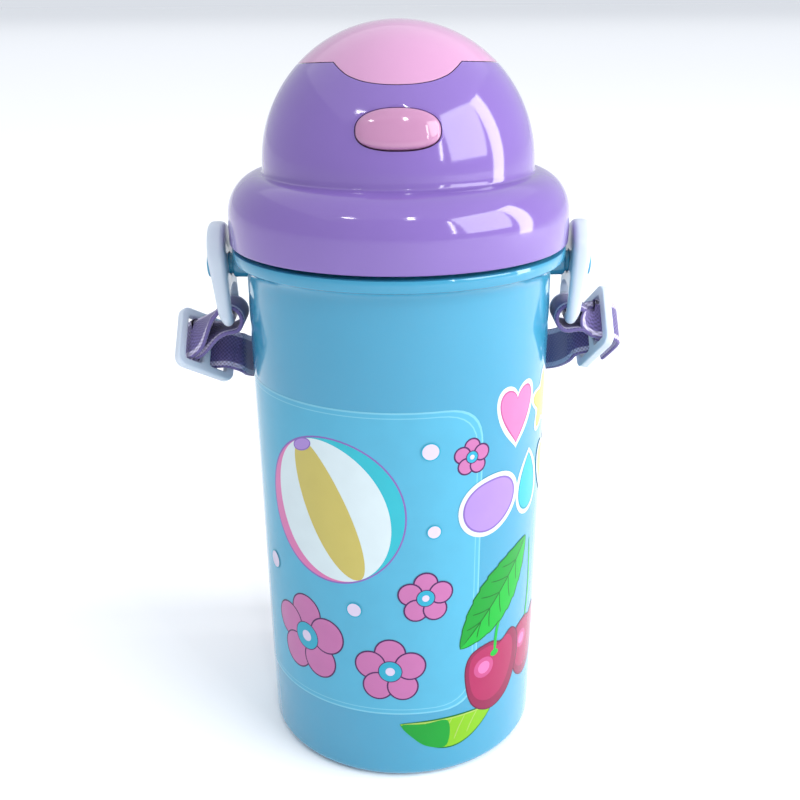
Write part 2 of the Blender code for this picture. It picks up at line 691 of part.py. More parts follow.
def main():
    clear_scene()
    blue = make_material("body_blue", (0.10, 0.46, 0.71), 0.25)
    film = make_material("print_film", (0.55, 0.72, 0.80), 0.25)
    purple = make_material("cap_purple", (0.28, 0.18, 0.53), 0.22)
    pink = make_material("lid_pink", (0.84, 0.45, 0.73), 0.25)
    button_pink = make_material("button_pink", (0.70, 0.32, 0.58), 0.28)
    white = make_material("natural_white", (0.78, 0.84, 0.90), 0.3)
    silicone = make_material("clear_silicone", (0.82, 0.85, 0.86), 0.4)
    steel = make_material("spring_steel", (0.6, 0.6, 0.62), 0.3, 1.0)
    webbing = make_material("webbing_purple", (0.20, 0.15, 0.42), 0.85)
    elastic = make_material("elastic_violet", (0.12, 0.09, 0.25), 0.8)
    make_bottle(blue)
    make_film(film)
    make_seal(silicone)
    make_cap_shell(purple)
    make_insert(white)
    make_lid(pink)
    make_lid_liner(silicone)
    make_pin(steel)
    make_lid_spring(steel)
    make_button(button_pink)
    make_button_spring(steel)
    make_spout_base(white)
    make_spout(silicone)
    make_straw(white)
    make_vent_valve(silicone)
    make_ring("left_ring", -1, white)
    make_ring("right_ring", 1, white)
    make_adjuster("left_adjuster", LEFT, white)
    make_adjuster("right_adjuster", RIGHT, white)
    make_webbing(webbing)
    make_tie(elastic)


main()
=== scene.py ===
import logging
import math
from dataclasses import dataclass, field
from enum import Enum
from typing import Callable, Iterable, Sequence

import bmesh
import bpy
from mathutils import Matrix, Vector


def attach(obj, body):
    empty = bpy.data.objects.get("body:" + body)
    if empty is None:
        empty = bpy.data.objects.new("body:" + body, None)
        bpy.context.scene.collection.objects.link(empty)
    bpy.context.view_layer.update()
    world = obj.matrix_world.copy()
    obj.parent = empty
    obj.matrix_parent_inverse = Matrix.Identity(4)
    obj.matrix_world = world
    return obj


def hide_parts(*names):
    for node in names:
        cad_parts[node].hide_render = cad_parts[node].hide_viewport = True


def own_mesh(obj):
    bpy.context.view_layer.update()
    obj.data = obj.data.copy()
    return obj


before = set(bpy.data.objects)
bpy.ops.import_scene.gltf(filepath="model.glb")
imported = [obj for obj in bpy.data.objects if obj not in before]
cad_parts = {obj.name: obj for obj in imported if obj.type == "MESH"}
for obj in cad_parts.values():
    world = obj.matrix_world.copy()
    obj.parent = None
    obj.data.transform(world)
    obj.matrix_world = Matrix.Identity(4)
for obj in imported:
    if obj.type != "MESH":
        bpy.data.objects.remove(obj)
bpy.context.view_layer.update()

LOG = logging.getLogger("bottle")
MM = 0.001
Point2 = tuple[float, float]
Ring = list[Vector]


def srgb(code: str) -> tuple[float, float, float, float]:
    """Linear colour of an sRGB hex code.

    Args:
        code: Six hex digits, with or without a leading hash.

    Returns:
        Linear red, green, blue and an alpha of 1.
    """
    digits = code.lstrip("#")
    channels = [int(digits[i : i + 2], 16) / 255 for i in (0, 2, 4)]
    linear = [c / 12.92 if c <= 0.04045 else ((c + 0.055) / 1.055) ** 2.4 for c in channels]
    return (linear[0], linear[1], linear[2], 1.0)


def add_node(
    tree: bpy.types.NodeTree,
    kind: str,
    settings: dict[str, object] | None = None,
    values: dict[str | int, object] | None = None,
    links: dict[str | int, bpy.types.NodeSocket] | None = None,
) -> bpy.types.Node:
    """Adds one shader node with its settings, socket values and incoming links.

    Args:
        tree: The node tree that receives the node.
        kind: The node's type name.
        settings: Attributes of the node.
        values: Input sockets set to constants.
        links: Input sockets linked from other nodes' outputs.

    Returns:
        The new node.
    """
    node = tree.nodes.new(kind)
    for name, value in (settings or {}).items():
        setattr(node, name, value)
    for socket, value in (values or {}).items():
        node.inputs[socket].default_value = value
    for socket, source in (links or {}).items():
        tree.links.new(source, node.inputs[socket])
    return node


def new_material(name: str) -> tuple[bpy.types.Material, bpy.types.NodeTree, bpy.types.Node]:
    """Empty node material with a Principled shader.

    Args:
        name: The material's name.

    Returns:
        The material, its node tree and the Principled node.
    """
    material = bpy.data.materials.new(name)
    material.use_nodes = True
    return material, material.node_tree, material.node_tree.nodes["Principled BSDF"]


def shade(colour: Sequence[float], factor: float) -> tuple[float, float, float, float]:
    """A colour multiplied by a factor, as a slightly darker or lighter batch of the same pigment."""
    return (colour[0] * factor, colour[1] * factor, colour[2] * factor, 1.0)


def add_noise(tree: bpy.types.NodeTree, scale: float, detail: float) -> bpy.types.NodeSocket:
    """Noise over the piece's own coordinates.

    Args:
        tree: The node tree.
        scale: Cells in a metre.
        detail: Finer layers added to the noise.

    Returns:
        The noise's value.
    """
    place = add_node(tree, "ShaderNodeTexCoord").outputs["Object"]
    noise = add_node(tree, "ShaderNodeTexNoise", values={"Scale": scale, "Detail": detail}, links={"Vector": place})
    return noise.outputs["Fac"]


def add_range(
    tree: bpy.types.NodeTree, source: bpy.types.NodeSocket, ends: dict[str, float]
) -> bpy.types.NodeSocket:
    """Maps a value to another range, whose ends are given by socket name."""
    return add_node(tree, "ShaderNodeMapRange", values=ends, links={"Value": source}).outputs[0]


def add_mix(
    tree: bpy.types.NodeTree, share: bpy.types.NodeSocket, first: Sequence[float], second: Sequence[float]
) -> bpy.types.NodeSocket:
    """Blends two colours by a share."""
    return add_node(tree, "ShaderNodeMix", {"data_type": "RGBA"}, {6: first, 7: second}, {0: share}).outputs[2]


def add_math(
    tree: bpy.types.NodeTree,
    operation: str,
    first: bpy.types.NodeSocket,
    second: float | bpy.types.NodeSocket | None = None,
) -> bpy.types.NodeSocket:
    """One step of arithmetic.

    Args:
        tree: The node tree.
        operation: Blender's name for the step.
        first: The first value.
        second: A number or another value, where the step takes two.

    Returns:
        The result.
    """
    node = add_node(tree, "ShaderNodeMath", {"operation": operation}, links={0: first})
    if isinstance(second, float):
        node.inputs[1].default_value = second
    elif second is not None:
        tree.links.new(second, node.inputs[1])
    return node.outputs[0]


def add_relief(
    tree: bpy.types.NodeTree, shader: bpy.types.Node, height: bpy.types.NodeSocket, strength: float, depth_m: float
) -> None:
    """Raises the surface by a height value, at most depth_m high."""
    values = {"Strength": strength, "Distance": depth_m}
    bump = add_node(tree, "ShaderNodeBump", values=values, links={"Height": height})
    tree.links.new(bump.outputs[0], shader.inputs["Normal"])


def set_inputs(shader: bpy.types.Node, values: dict[str, object]) -> None:
    """Sets a shader's constant sockets by name."""
    for socket, value in values.items():
        shader.inputs[socket].default_value = value


@dataclass(frozen=True)
class MouldedPlastic:
    """Injection moulded polypropylene: a glossy skin with faint flow marks and soft depth."""

    name: str
    colour: str
    roughness: float = 0.09
    depth: float = 0.12
    flow_mm: float = 14.0
    wave_mm: float = 9.0
    coat: float = 0.35

    def build(self) -> bpy.types.Material:
        """Makes the material.

        Returns:
            The finished material.
        """
        material, tree, shader = new_material(self.name)
        base = srgb(self.colour)
        flow = add_noise(tree, 1000.0 / self.flow_mm, 3.0)
        tint = add_mix(tree, flow, shade(base, 0.97), shade(base, 1.03))
        tree.links.new(tint, shader.inputs["Base Color"])
        # The skin copies a polished mould, so the gloss wanders only a little with the melt's flow.
        gloss = add_range(tree, flow, {"To Min": self.roughness * 0.85, "To Max": self.roughness * 1.2})
        tree.links.new(gloss, shader.inputs["Roughness"])
        add_relief(tree, shader, add_noise(tree, 1000.0 / self.wave_mm, 1.0), 0.035, 0.0002)
        set_inputs(
            shader,
            {
                "IOR": 1.49,
                "Subsurface Weight": self.depth,
                "Subsurface Scale": 0.0015,
                "Subsurface Radius": (1.0, 0.9, 1.0),
                "Coat Weight": self.coat,
                "Coat Roughness": 0.06,
            },
        )
        return material


@dataclass(frozen=True)
class SoftSilicone:
    """Moulded silicone rubber: milky, satin, with light passing some way in."""

    name: str
    colour: str
    roughness: float = 0.42

    def build(self) -> bpy.types.Material:
        """Makes the material.

        Returns:
            The finished material.
        """
        material, tree, shader = new_material(self.name)
        ends = {"To Min": self.roughness * 0.85, "To Max": self.roughness * 1.15}
        # A bloom a few millimetres wide keeps the satin skin from looking like paint.
        gloss = add_range(tree, add_noise(tree, 220.0, 4.0), ends)
        tree.links.new(gloss, shader.inputs["Roughness"])
        depth = {"Subsurface Weight": 0.3, "Subsurface Scale": 0.002}
        set_inputs(shader, {"Base Color": srgb(self.colour), "IOR": 1.41} | depth)
        return material


@dataclass(frozen=True)
class DrawnSteel:
    """Stainless wire, drawn through a die: a bright metal whose gloss varies finely."""

    name: str
    colour: str = "#C9CACD"

    def build(self) -> bpy.types.Material:
        """Makes the material.

        Returns:
            The finished material.
        """
        material, tree, shader = new_material(self.name)
        gloss = add_range(tree, add_noise(tree, 1500.0, 2.0), {"To Min": 0.22, "To Max": 0.36})
        tree.links.new(gloss, shader.inputs["Roughness"])
        set_inputs(shader, {"Base Color": srgb(self.colour), "Metallic": 1.0})
        return material


@dataclass(frozen=True)
class PrintInk:
    """One ink of a glossy transfer print: a nearly flat colour under a thin varnish."""

    name: str
    colour: str
    mottle: float = 0.05

    def build(self) -> bpy.types.Material:
        """Makes the material.

        Returns:
            The finished material.
        """
        material, tree, shader = new_material(self.name)
        base = srgb(self.colour)
        wash = add_noise(tree, 160.0, 2.0)
        tint = add_mix(tree, wash, shade(base, 1.0 - self.mottle), shade(base, 1.0 + self.mottle))
        tree.links.new(tint, shader.inputs["Base Color"])
        set_inputs(shader, {"Roughness": 0.1, "IOR": 1.5, "Specular IOR Level": 0.3})
        return material


@dataclass(frozen=True)
class WovenWebbing:
    """Woven polyester tape: a cross rib with painted shade in its hollows and a painted highlight on its crests, pale
    selvedge stripes, dull and fibrous.
    """

    name: str
    ground: str
    stripe: str
    width_mm: float = 11.0
    rib_mm: float = 0.55
    stripe_mm: float = 1.5

    def build(self) -> bpy.types.Material:
        """Makes the material.

        Returns:
            The finished material.
        """
        material, tree, shader = new_material(self.name)
        place = add_node(tree, "ShaderNodeTexCoord")
        split = add_node(tree, "ShaderNodeSeparateXYZ", links={0: place.outputs["UV"]})
        away = add_math(tree, "ABSOLUTE", add_math(tree, "SUBTRACT", split.outputs[0], 0.5))
        # The two pale stripes run just inside the edges.
        start = 0.5 - (self.stripe_mm + 0.5) / self.width_mm
        edge = add_range(tree, away, {"From Min": start - 0.012, "From Max": start + 0.012})
        rim = add_range(tree, away, {"From Min": 0.462, "From Max": 0.475, "To Min": 1.0, "To Max": 0.0})
        stripes = add_math(tree, "MULTIPLY", edge, rim)
        # The rib is drawn coarser than the real yarn where it would be too fine to show.
        along = add_math(tree, "MULTIPLY", split.outputs[1], 2 * math.pi / (self.rib_mm * MM))
        across = add_math(tree, "MULTIPLY", split.outputs[0], math.pi * (self.width_mm / self.rib_mm) * 1.6)
        weave = add_math(tree, "MULTIPLY", add_math(tree, "SINE", along), add_math(tree, "SINE", across))
        # The colour follows the rib's height as painted light: shade painted into the weave's hollows and a highlight
        # painted on its crests, on top of the bump.
        rib_painted_shade = add_range(tree, weave, {"From Min": -1.0, "To Min": 0.55, "To Max": 1.25})
        ground = add_mix(tree, stripes, srgb(self.ground), srgb(self.stripe))
        rib_shaded_ground = add_node(tree, "ShaderNodeVectorMath", {"operation": "SCALE"}, links={0: ground, "Scale": rib_painted_shade})
        tree.links.new(rib_shaded_ground.outputs[0], shader.inputs["Base Color"])
        add_relief(tree, shader, weave, 0.5, 0.0002)
        set_inputs(shader, {"Roughness": 0.78, "Sheen Weight": 0.35, "Sheen Roughness": 0.4})
        return material


@dataclass(frozen=True)
class StudioFloor:
    """Pale seamless paper under soft light."""

    name: str = "seamless_paper_matt"
    colour: str = "#FFFFFF"

    def build(self) -> bpy.types.Material:
        """Makes the material.

        Returns:
            The finished material.
        """
        material, tree, shader = new_material(self.name)
        add_relief(tree, shader, add_noise(tree, 900.0, 2.0), 0.03, 0.0001)
        set_inputs(shader, {"Base Color": srgb(self.colour), "Roughness": 0.9, "Specular IOR Level": 0.1})
        return material


class Dim:
    """Driving dimensions in millimetres, shared by the pieces."""

    BASE_R = 36.125
    RIM_R = 38.25
    TAPER_TOP = 135.0
    FLANGE_R = 41.5
    FLANGE_TOP = 134.7
    NECK_OUT = 35.8
    NECK_IN = 33.5
    NECK_TOP = 145.6
    PITCH = 5.0
    THREAD_Z = 139.4
    COLLAR_R = 42.0
    COLLAR_BOTTOM = 135.7
    COLLAR_SIDE_TOP = 142.6
    CREASE_Z = 152.7
    DOME_R = 33.15
    DOME_IN_R = 31.15
    DOME_Z = 154.35
    HINGE = (28.4, 175.4)
    KNUCKLE_R = 2.6
    PIN_HOLE_R = 1.25
    LID_WALL = 1.8
    LID_GAP = 0.16
    PART_Z = 177.3
    PART_SLOPE = -0.0737
    LUG_Z = 129.5
    RING_X = 43.1
    RING_INSET = 0.55
    RING_LEAN = 0.06
    FOOT_BAR_Z = 115.9
    WEB_WIDTH = 11.0
    WEB_THICK = 1.1
    SPOUT = (8.0, 160.0)


def body_r(z: float) -> float:
    """Outer radius of the bottle's tapered wall at height z, in millimetres."""
    return Dim.BASE_R + (Dim.RIM_R - Dim.BASE_R) * z / Dim.TAPER_TOP


def arc(centre: Point2, radius: Point2, start: float, end: float, steps: int) -> list[Point2]:
    """Points on an elliptical arc.

    Args:
        centre: Centre of the ellipse.
        radius: Its two half axes.
        start: First angle in degrees.
        end: Last angle in degrees.
        steps: Number of pieces.

    Returns:
        The points, both ends included.
    """
    turns = [math.radians(start + (end - start) * i / steps) for i in range(steps + 1)]
    return [(centre[0] + radius[0] * math.cos(t), centre[1] + radius[1] * math.sin(t)) for t in turns]


def rounded(points: Sequence[Point2], radius: float, steps: int = 4) -> list[Point2]:
    """Polyline with every inner corner cut back and replaced by a smooth bend.

    Args:
        points: The corners.
        radius: Cut-back length at each corner.
        steps: Pieces per bend.

    Returns:
        The bent polyline.
    """
    path = [Vector(point) for point in points]
    made = [tuple(path[0])]
    for before, here, after in zip(path, path[1:], path[2:]):
        reach = min(radius, (before - here).length * 0.45, (after - here).length * 0.45)
        first = here + (before - here).normalized() * reach
        last = here + (after - here).normalized() * reach
        for i in range(steps + 1):
            t = i / steps
            made.append(tuple(first * (1 - t) ** 2 + here * 2 * t * (1 - t) + last * t * t))
    made.append(tuple(path[-1]))
    return made


def smooth_mesh(mesh: bpy.types.Mesh, crease: float | None = None) -> None:
    """Shades a mesh smooth, and keeps edges sharper than the crease angle in degrees where one is given."""
    mesh.polygons.foreach_set("use_smooth", [True] * len(mesh.polygons))
    if crease is not None:
        mesh.set_sharp_from_angle(angle=math.radians(crease))


def add_object(name: str, data: bpy.types.ID | None) -> bpy.types.Object:
    """New object in the scene's own collection."""
    obj = bpy.data.objects.new(name, data)
    bpy.context.scene.collection.objects.link(obj)
    return obj


def to_object(
    name: str, bm: bmesh.types.BMesh, material: bpy.types.Material | None, sharp: float = 35.0
) -> bpy.types.Object:
    """Object from a bmesh in millimetres, shaded smooth with sharp creases.

    Args:
        name: The object's name.
        bm: The shape, freed here.
        material: Its material, or None for a helper.
        sharp: Crease angle in degrees.

    Returns:
        The object, linked to the scene.
    """
    bmesh.ops.scale(bm, vec=(MM, MM, MM), verts=bm.verts)
    bmesh.ops.recalc_face_normals(bm, faces=bm.faces)
    mesh = bpy.data.meshes.new(name)
    bm.to_mesh(mesh)
    bm.free()
    smooth_mesh(mesh, sharp)
    if material:
        mesh.materials.append(material)
    return add_object(name, mesh)


def revolve(profile: Sequence[Point2], segments: int, closed: bool, centre: Point2 = (0.0, 0.0)) -> bmesh.types.BMesh:
    """Spins an (r, z) profile about a vertical axis.

    Args:
        profile: The points of the profile.
        segments: Steps round the axis.
        closed: Whether the last point joins the first.
        centre: Where the axis stands.

    Returns:
        The bmesh, in millimetres.
    """
    bm = bmesh.new()
    verts = [bm.verts.new((centre[0] + r, centre[1], z)) for r, z in profile]
    pairs = list(zip(verts, verts[1:])) + ([(verts[-1], verts[0])] if closed else [])
    edges = [bm.edges.new(pair) for pair in pairs]
    bmesh.ops.spin(
        bm,
        geom=verts + edges,
        cent=(centre[0], centre[1], 0.0),
        axis=(0.0, 0.0, 1.0),
        angle=2 * math.pi,
        steps=segments,
        use_merge=True,
    )
    bmesh.ops.remove_doubles(bm, verts=bm.verts, dist=1e-4)
    return bm


def loft(rings: Sequence[Sequence[Sequence[float]]], ends: bool = True) -> bmesh.types.BMesh:
    """Joins rings of equal point counts.

    Args:
        rings: The rings, in order.
        ends: Whether the first and last ring are filled.

    Returns:
        The bmesh, in millimetres.
    """
    bm = bmesh.new()
    made = [[bm.verts.new(point) for point in ring] for ring in rings]
    count = len(made[0])
    for first, second in zip(made, made[1:]):
        for i in range(count):
            j = (i + 1) % count
            bm.faces.new((first[i], first[j], second[j], second[i]))
    if ends:
        bm.faces.new(list(reversed(made[0])))
        bm.faces.new(made[-1])
    return bm


def prism(
    outline: Sequence[Point2], place: Callable[[float, float, float], tuple], low: float, high: float
) -> bmesh.types.BMesh:
    """Sweeps an outline between two depths.

    Args:
        outline: The outline's points.
        place: Turns (a, b, depth) into a point.
        low: First depth.
        high: Last depth.

    Returns:
        The bmesh, in millimetres.
    """
    return loft([[place(a, b, depth) for a, b in outline] for depth in (low, high)])


def along_x(a: float, b: float, depth: float) -> tuple[float, float, float]:
    """Outline in Y and Z, depth along X."""
    return (depth, a, b)


def along_y(a: float, b: float, depth: float) -> tuple[float, float, float]:
    """Outline in X and Z, depth along Y."""
    return (a, depth, b)


def along_z(a: float, b: float, depth: float) -> tuple[float, float, float]:
    """Outline in X and Y, depth along Z."""
    return (a, b, depth)


def cylinder_x(radius: float, low: float, high: float, centre: Point2, sides: int = 48) -> bmesh.types.BMesh:
    """Cylinder along X about a point given in Y and Z."""
    return prism(arc(centre, (radius, radius), 0, 360 - 360 / sides, sides - 1), along_x, low, high)


def box(low: Sequence[float], high: Sequence[float]) -> bmesh.types.BMesh:
    """Box between two corners."""
    outline = [(low[0], low[1]), (high[0], low[1]), (high[0], high[1]), (low[0], high[1])]
    return prism(outline, along_z, low[2], high[2])


class Cut(Enum):
    """How one solid changes another."""

    TAKE = "DIFFERENCE"
    ADD = "UNION"
    KEEP = "INTERSECT"


def combine(target: bpy.types.Object, tool: bpy.types.Object, how: Cut) -> None:
    """Applies one Boolean and removes the other object.

    Args:
        target: The object that changes.
        tool: The object it is combined with.
        how: The operation.
    """
    modifier = target.modifiers.new("combine", "BOOLEAN")
    modifier.operation = how.value
    modifier.solver = "EXACT"
    modifier.object = tool
    bake(target)
    bpy.data.objects.remove(tool)


def carve(target: bpy.types.Object, bm: bmesh.types.BMesh, how: Cut) -> None:
    """Applies one Boolean with a solid given in millimetres."""
    combine(target, to_object("tool", bm, None), how)


def bake(target: bpy.types.Object) -> None:
    """Turns an object's modifiers into mesh and removes them."""
    graph = bpy.context.evaluated_depsgraph_get()
    mesh = bpy.data.meshes.new_from_object(target.evaluated_get(graph))
    target.modifiers.clear()
    old = target.data
    target.data = mesh
    mesh.name = old.name
    bpy.data.meshes.remove(old)


def soften(target: bpy.types.Object, width: float, angle: float = 40.0, segments: int = 3) -> None:
    """Rounds an object's sharp edges.

    Args:
        target: The object.
        width: Size of the rounding in millimetres.
        angle: Edges sharper than this, in degrees, are rounded.
        segments: Pieces in each rounding.
    """
    weld = target.modifiers.new("weld", "WELD")
    weld.merge_threshold = 2e-6
    bevel = target.modifiers.new("round", "BEVEL")
    bevel.width = width * MM
    bevel.segments = segments
    bevel.limit_method = "ANGLE"
    bevel.angle_limit = math.radians(angle)
    bevel.harden_normals = False
    bake(target)
    smooth_mesh(target.data, 38)


def finish_piece(obj: bpy.types.Object, body: str, nodes: Iterable[str]) -> bpy.types.Object:
    """Hands one piece to the frame and reports it.

    Args:
        obj: The piece.
        body: The CAD body that it moves with.
        nodes: CAD nodes that it stands for.

    Returns:
        The same object.
    """
    names = list(nodes)
    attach(obj, body)
    if names:
        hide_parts(*names)
    LOG.info("%s: %d faces on %s", obj.name, len(obj.data.polygons), body)
    return obj


@dataclass
class BottleBody:
    """The tapered bottle with its rim flange, threaded neck and strap lugs."""

    material: bpy.types.Material
    segments: int = 192
    side_signs: tuple[int, int] = (-1, 1)

    def profile(self) -> list[Point2]:
        """Outer and inner wall as one profile from the axis to the axis."""
        outer = [(0.0, 0.0), (24.0, 0.0), (24.7, 0.7), (27.3, 0.7), (28.0, 0.0), (33.4, 0.0)]
        outer += arc((33.4, 2.75), (2.76, 2.75), -80, 0, 8)
        outer += [(body_r(z), z) for z in (8.0, 30.0, 60.0, 90.0, 120.0, 127.8)]
        outer += [(38.2, 128.8), (38.38, 129.7), (38.75, 130.5), (39.3, 131.1), (40.0, 131.5), (40.8, 131.7)]
        outer += [(41.25, 131.95), (Dim.FLANGE_R, 132.4), (Dim.FLANGE_R, 134.1), (41.35, 134.55), (40.9, 134.7)]
        outer += [(Dim.NECK_OUT, Dim.FLANGE_TOP), (Dim.NECK_OUT, 145.1), (35.3, Dim.NECK_TOP)]
        inner = [(34.0, Dim.NECK_TOP), (Dim.NECK_IN, 145.1), (Dim.NECK_IN, 136.4), (34.2, 134.4), (35.9, 131.5)]
        inner += [(body_r(5.0) - 2.2, 6.0), (33.2, 4.0), (31.4, 2.8), (29.0, 2.5), (0.0, 2.5)]
        return outer + inner

    def thread(self) -> bmesh.types.BMesh:
        """Single start right-hand ridge round the neck."""
        rings = []
        steps = 72
        for i in range(steps + 1):
            angle = 2 * math.pi * i / steps
            grow = min(1.0, 0.12 + min(i, steps - i) / 5.0)
            z = Dim.THREAD_Z + Dim.PITCH * i / steps
            root, crest = Dim.NECK_OUT - 0.4, Dim.NECK_OUT + 1.6 * grow
            section = [(root, -0.95), (crest, -0.45 * grow), (crest, 0.45 * grow), (root, 0.95)]
            rings.append([(r * math.cos(angle), r * math.sin(angle), z + h) for r, h in section])
        return loft(rings)

    def lug(self, side: int) -> bmesh.types.BMesh:
        """Stepped stud that holds a strap ring.

        Args:
            side: -1 on the left and 1 on the right.

        Returns:
            The solid, in millimetres.
        """
        steps = [(36.9, 3.6), (41.2, 3.5), (41.6, 3.1), (41.7, 2.6), (47.05, 2.6), (47.05, 3.2), (47.15, 3.5)]
        steps += [(47.45, 3.55), (47.8, 3.4), (48.05, 2.9), (48.2, 2.0)]
        rings = []
        for x, radius in steps:
            circle = arc((0.0, Dim.LUG_Z), (radius, radius), 0, 350, 35)
            rings.append([(side * x, y, z) for y, z in circle])
        return loft(rings)

    def build(self) -> bpy.types.Object:
        """Makes the piece.

        Returns:
            The bottle.
        """
        bottle = to_object("bottle_moulded", revolve(self.profile(), self.segments, False), self.material, 30)
        carve(bottle, self.thread(), Cut.ADD)
        for side in self.side_signs:
            carve(bottle, self.lug(side), Cut.ADD)
        smooth_mesh(bottle.data, 30)
        return finish_piece(bottle, "bottle", ["bottle_body"])


class Ink(Enum):
    """Inks of the print, each with its colour."""

    FILM = "#4C9DBB"
    FILM_EDGE = "#6DB1C7"
    DOT = "#C4B9CF"
    LEAF = "#08A02E"
    LEAF_SHADE = "#078A28"
    LEAF_DARK = "#05601C"
    LEAF_LIME = "#76AE12"
    LEAF_VEIN = "#96B151"
    CHERRY = "#982351"
    CHERRY_EDGE = "#801B44"
    CHERRY_DARK = "#5A1134"
    CHERRY_GLOW = "#AE4477"
    CHERRY_SHINE = "#C4689D"
    PETAL = "#AE6598"
    SEAM = "#421C4F"
    SKY = "#2596B1"
    WHITE = "#C2D0D4"
    HEART = "#C46C9F"
    HEART_DARK = "#A64B82"
    MOON = "#987BBC"
    MOON_DARK = "#775CA3"
    DROP = "#2AA6B5"
    DROP_DARK = "#1A8698"
    STAR = "#B5A85A"
    LIME = "#989F39"


def catmull(points: Sequence[Vector], steps: int) -> list[Vector]:
    """Smooth curve through points.

    Args:
        points: The points it passes.
        steps: Pieces in each span.

    Returns:
        Points along the curve.
    """
    path = [Vector(point) for point in points]
    path = [path[0] * 2 - path[1]] + path + [path[-1] * 2 - path[-2]]
    made = []
    for a, b, c, d in zip(path, path[1:], path[2:], path[3:]):
        for i in range(steps):
            t = i / steps
            first = (b * 2) + (c - a) * t
            second = (a * 2 - b * 5 + c * 4 - d) * t * t
            third = (b * 3 - a - c * 3 + d) * t * t * t
            made.append((first + second + third) * 0.5)
    made.append(path[-2])
    return made


def turned(centre: Point2, x: float, y: float, turn: float) -> Point2:
    """A point given about a centre, after a turn in radians."""
    return (
        centre[0] + x * math.cos(turn) - y * math.sin(turn),
        centre[1] + x * math.sin(turn) + y * math.cos(turn),
    )


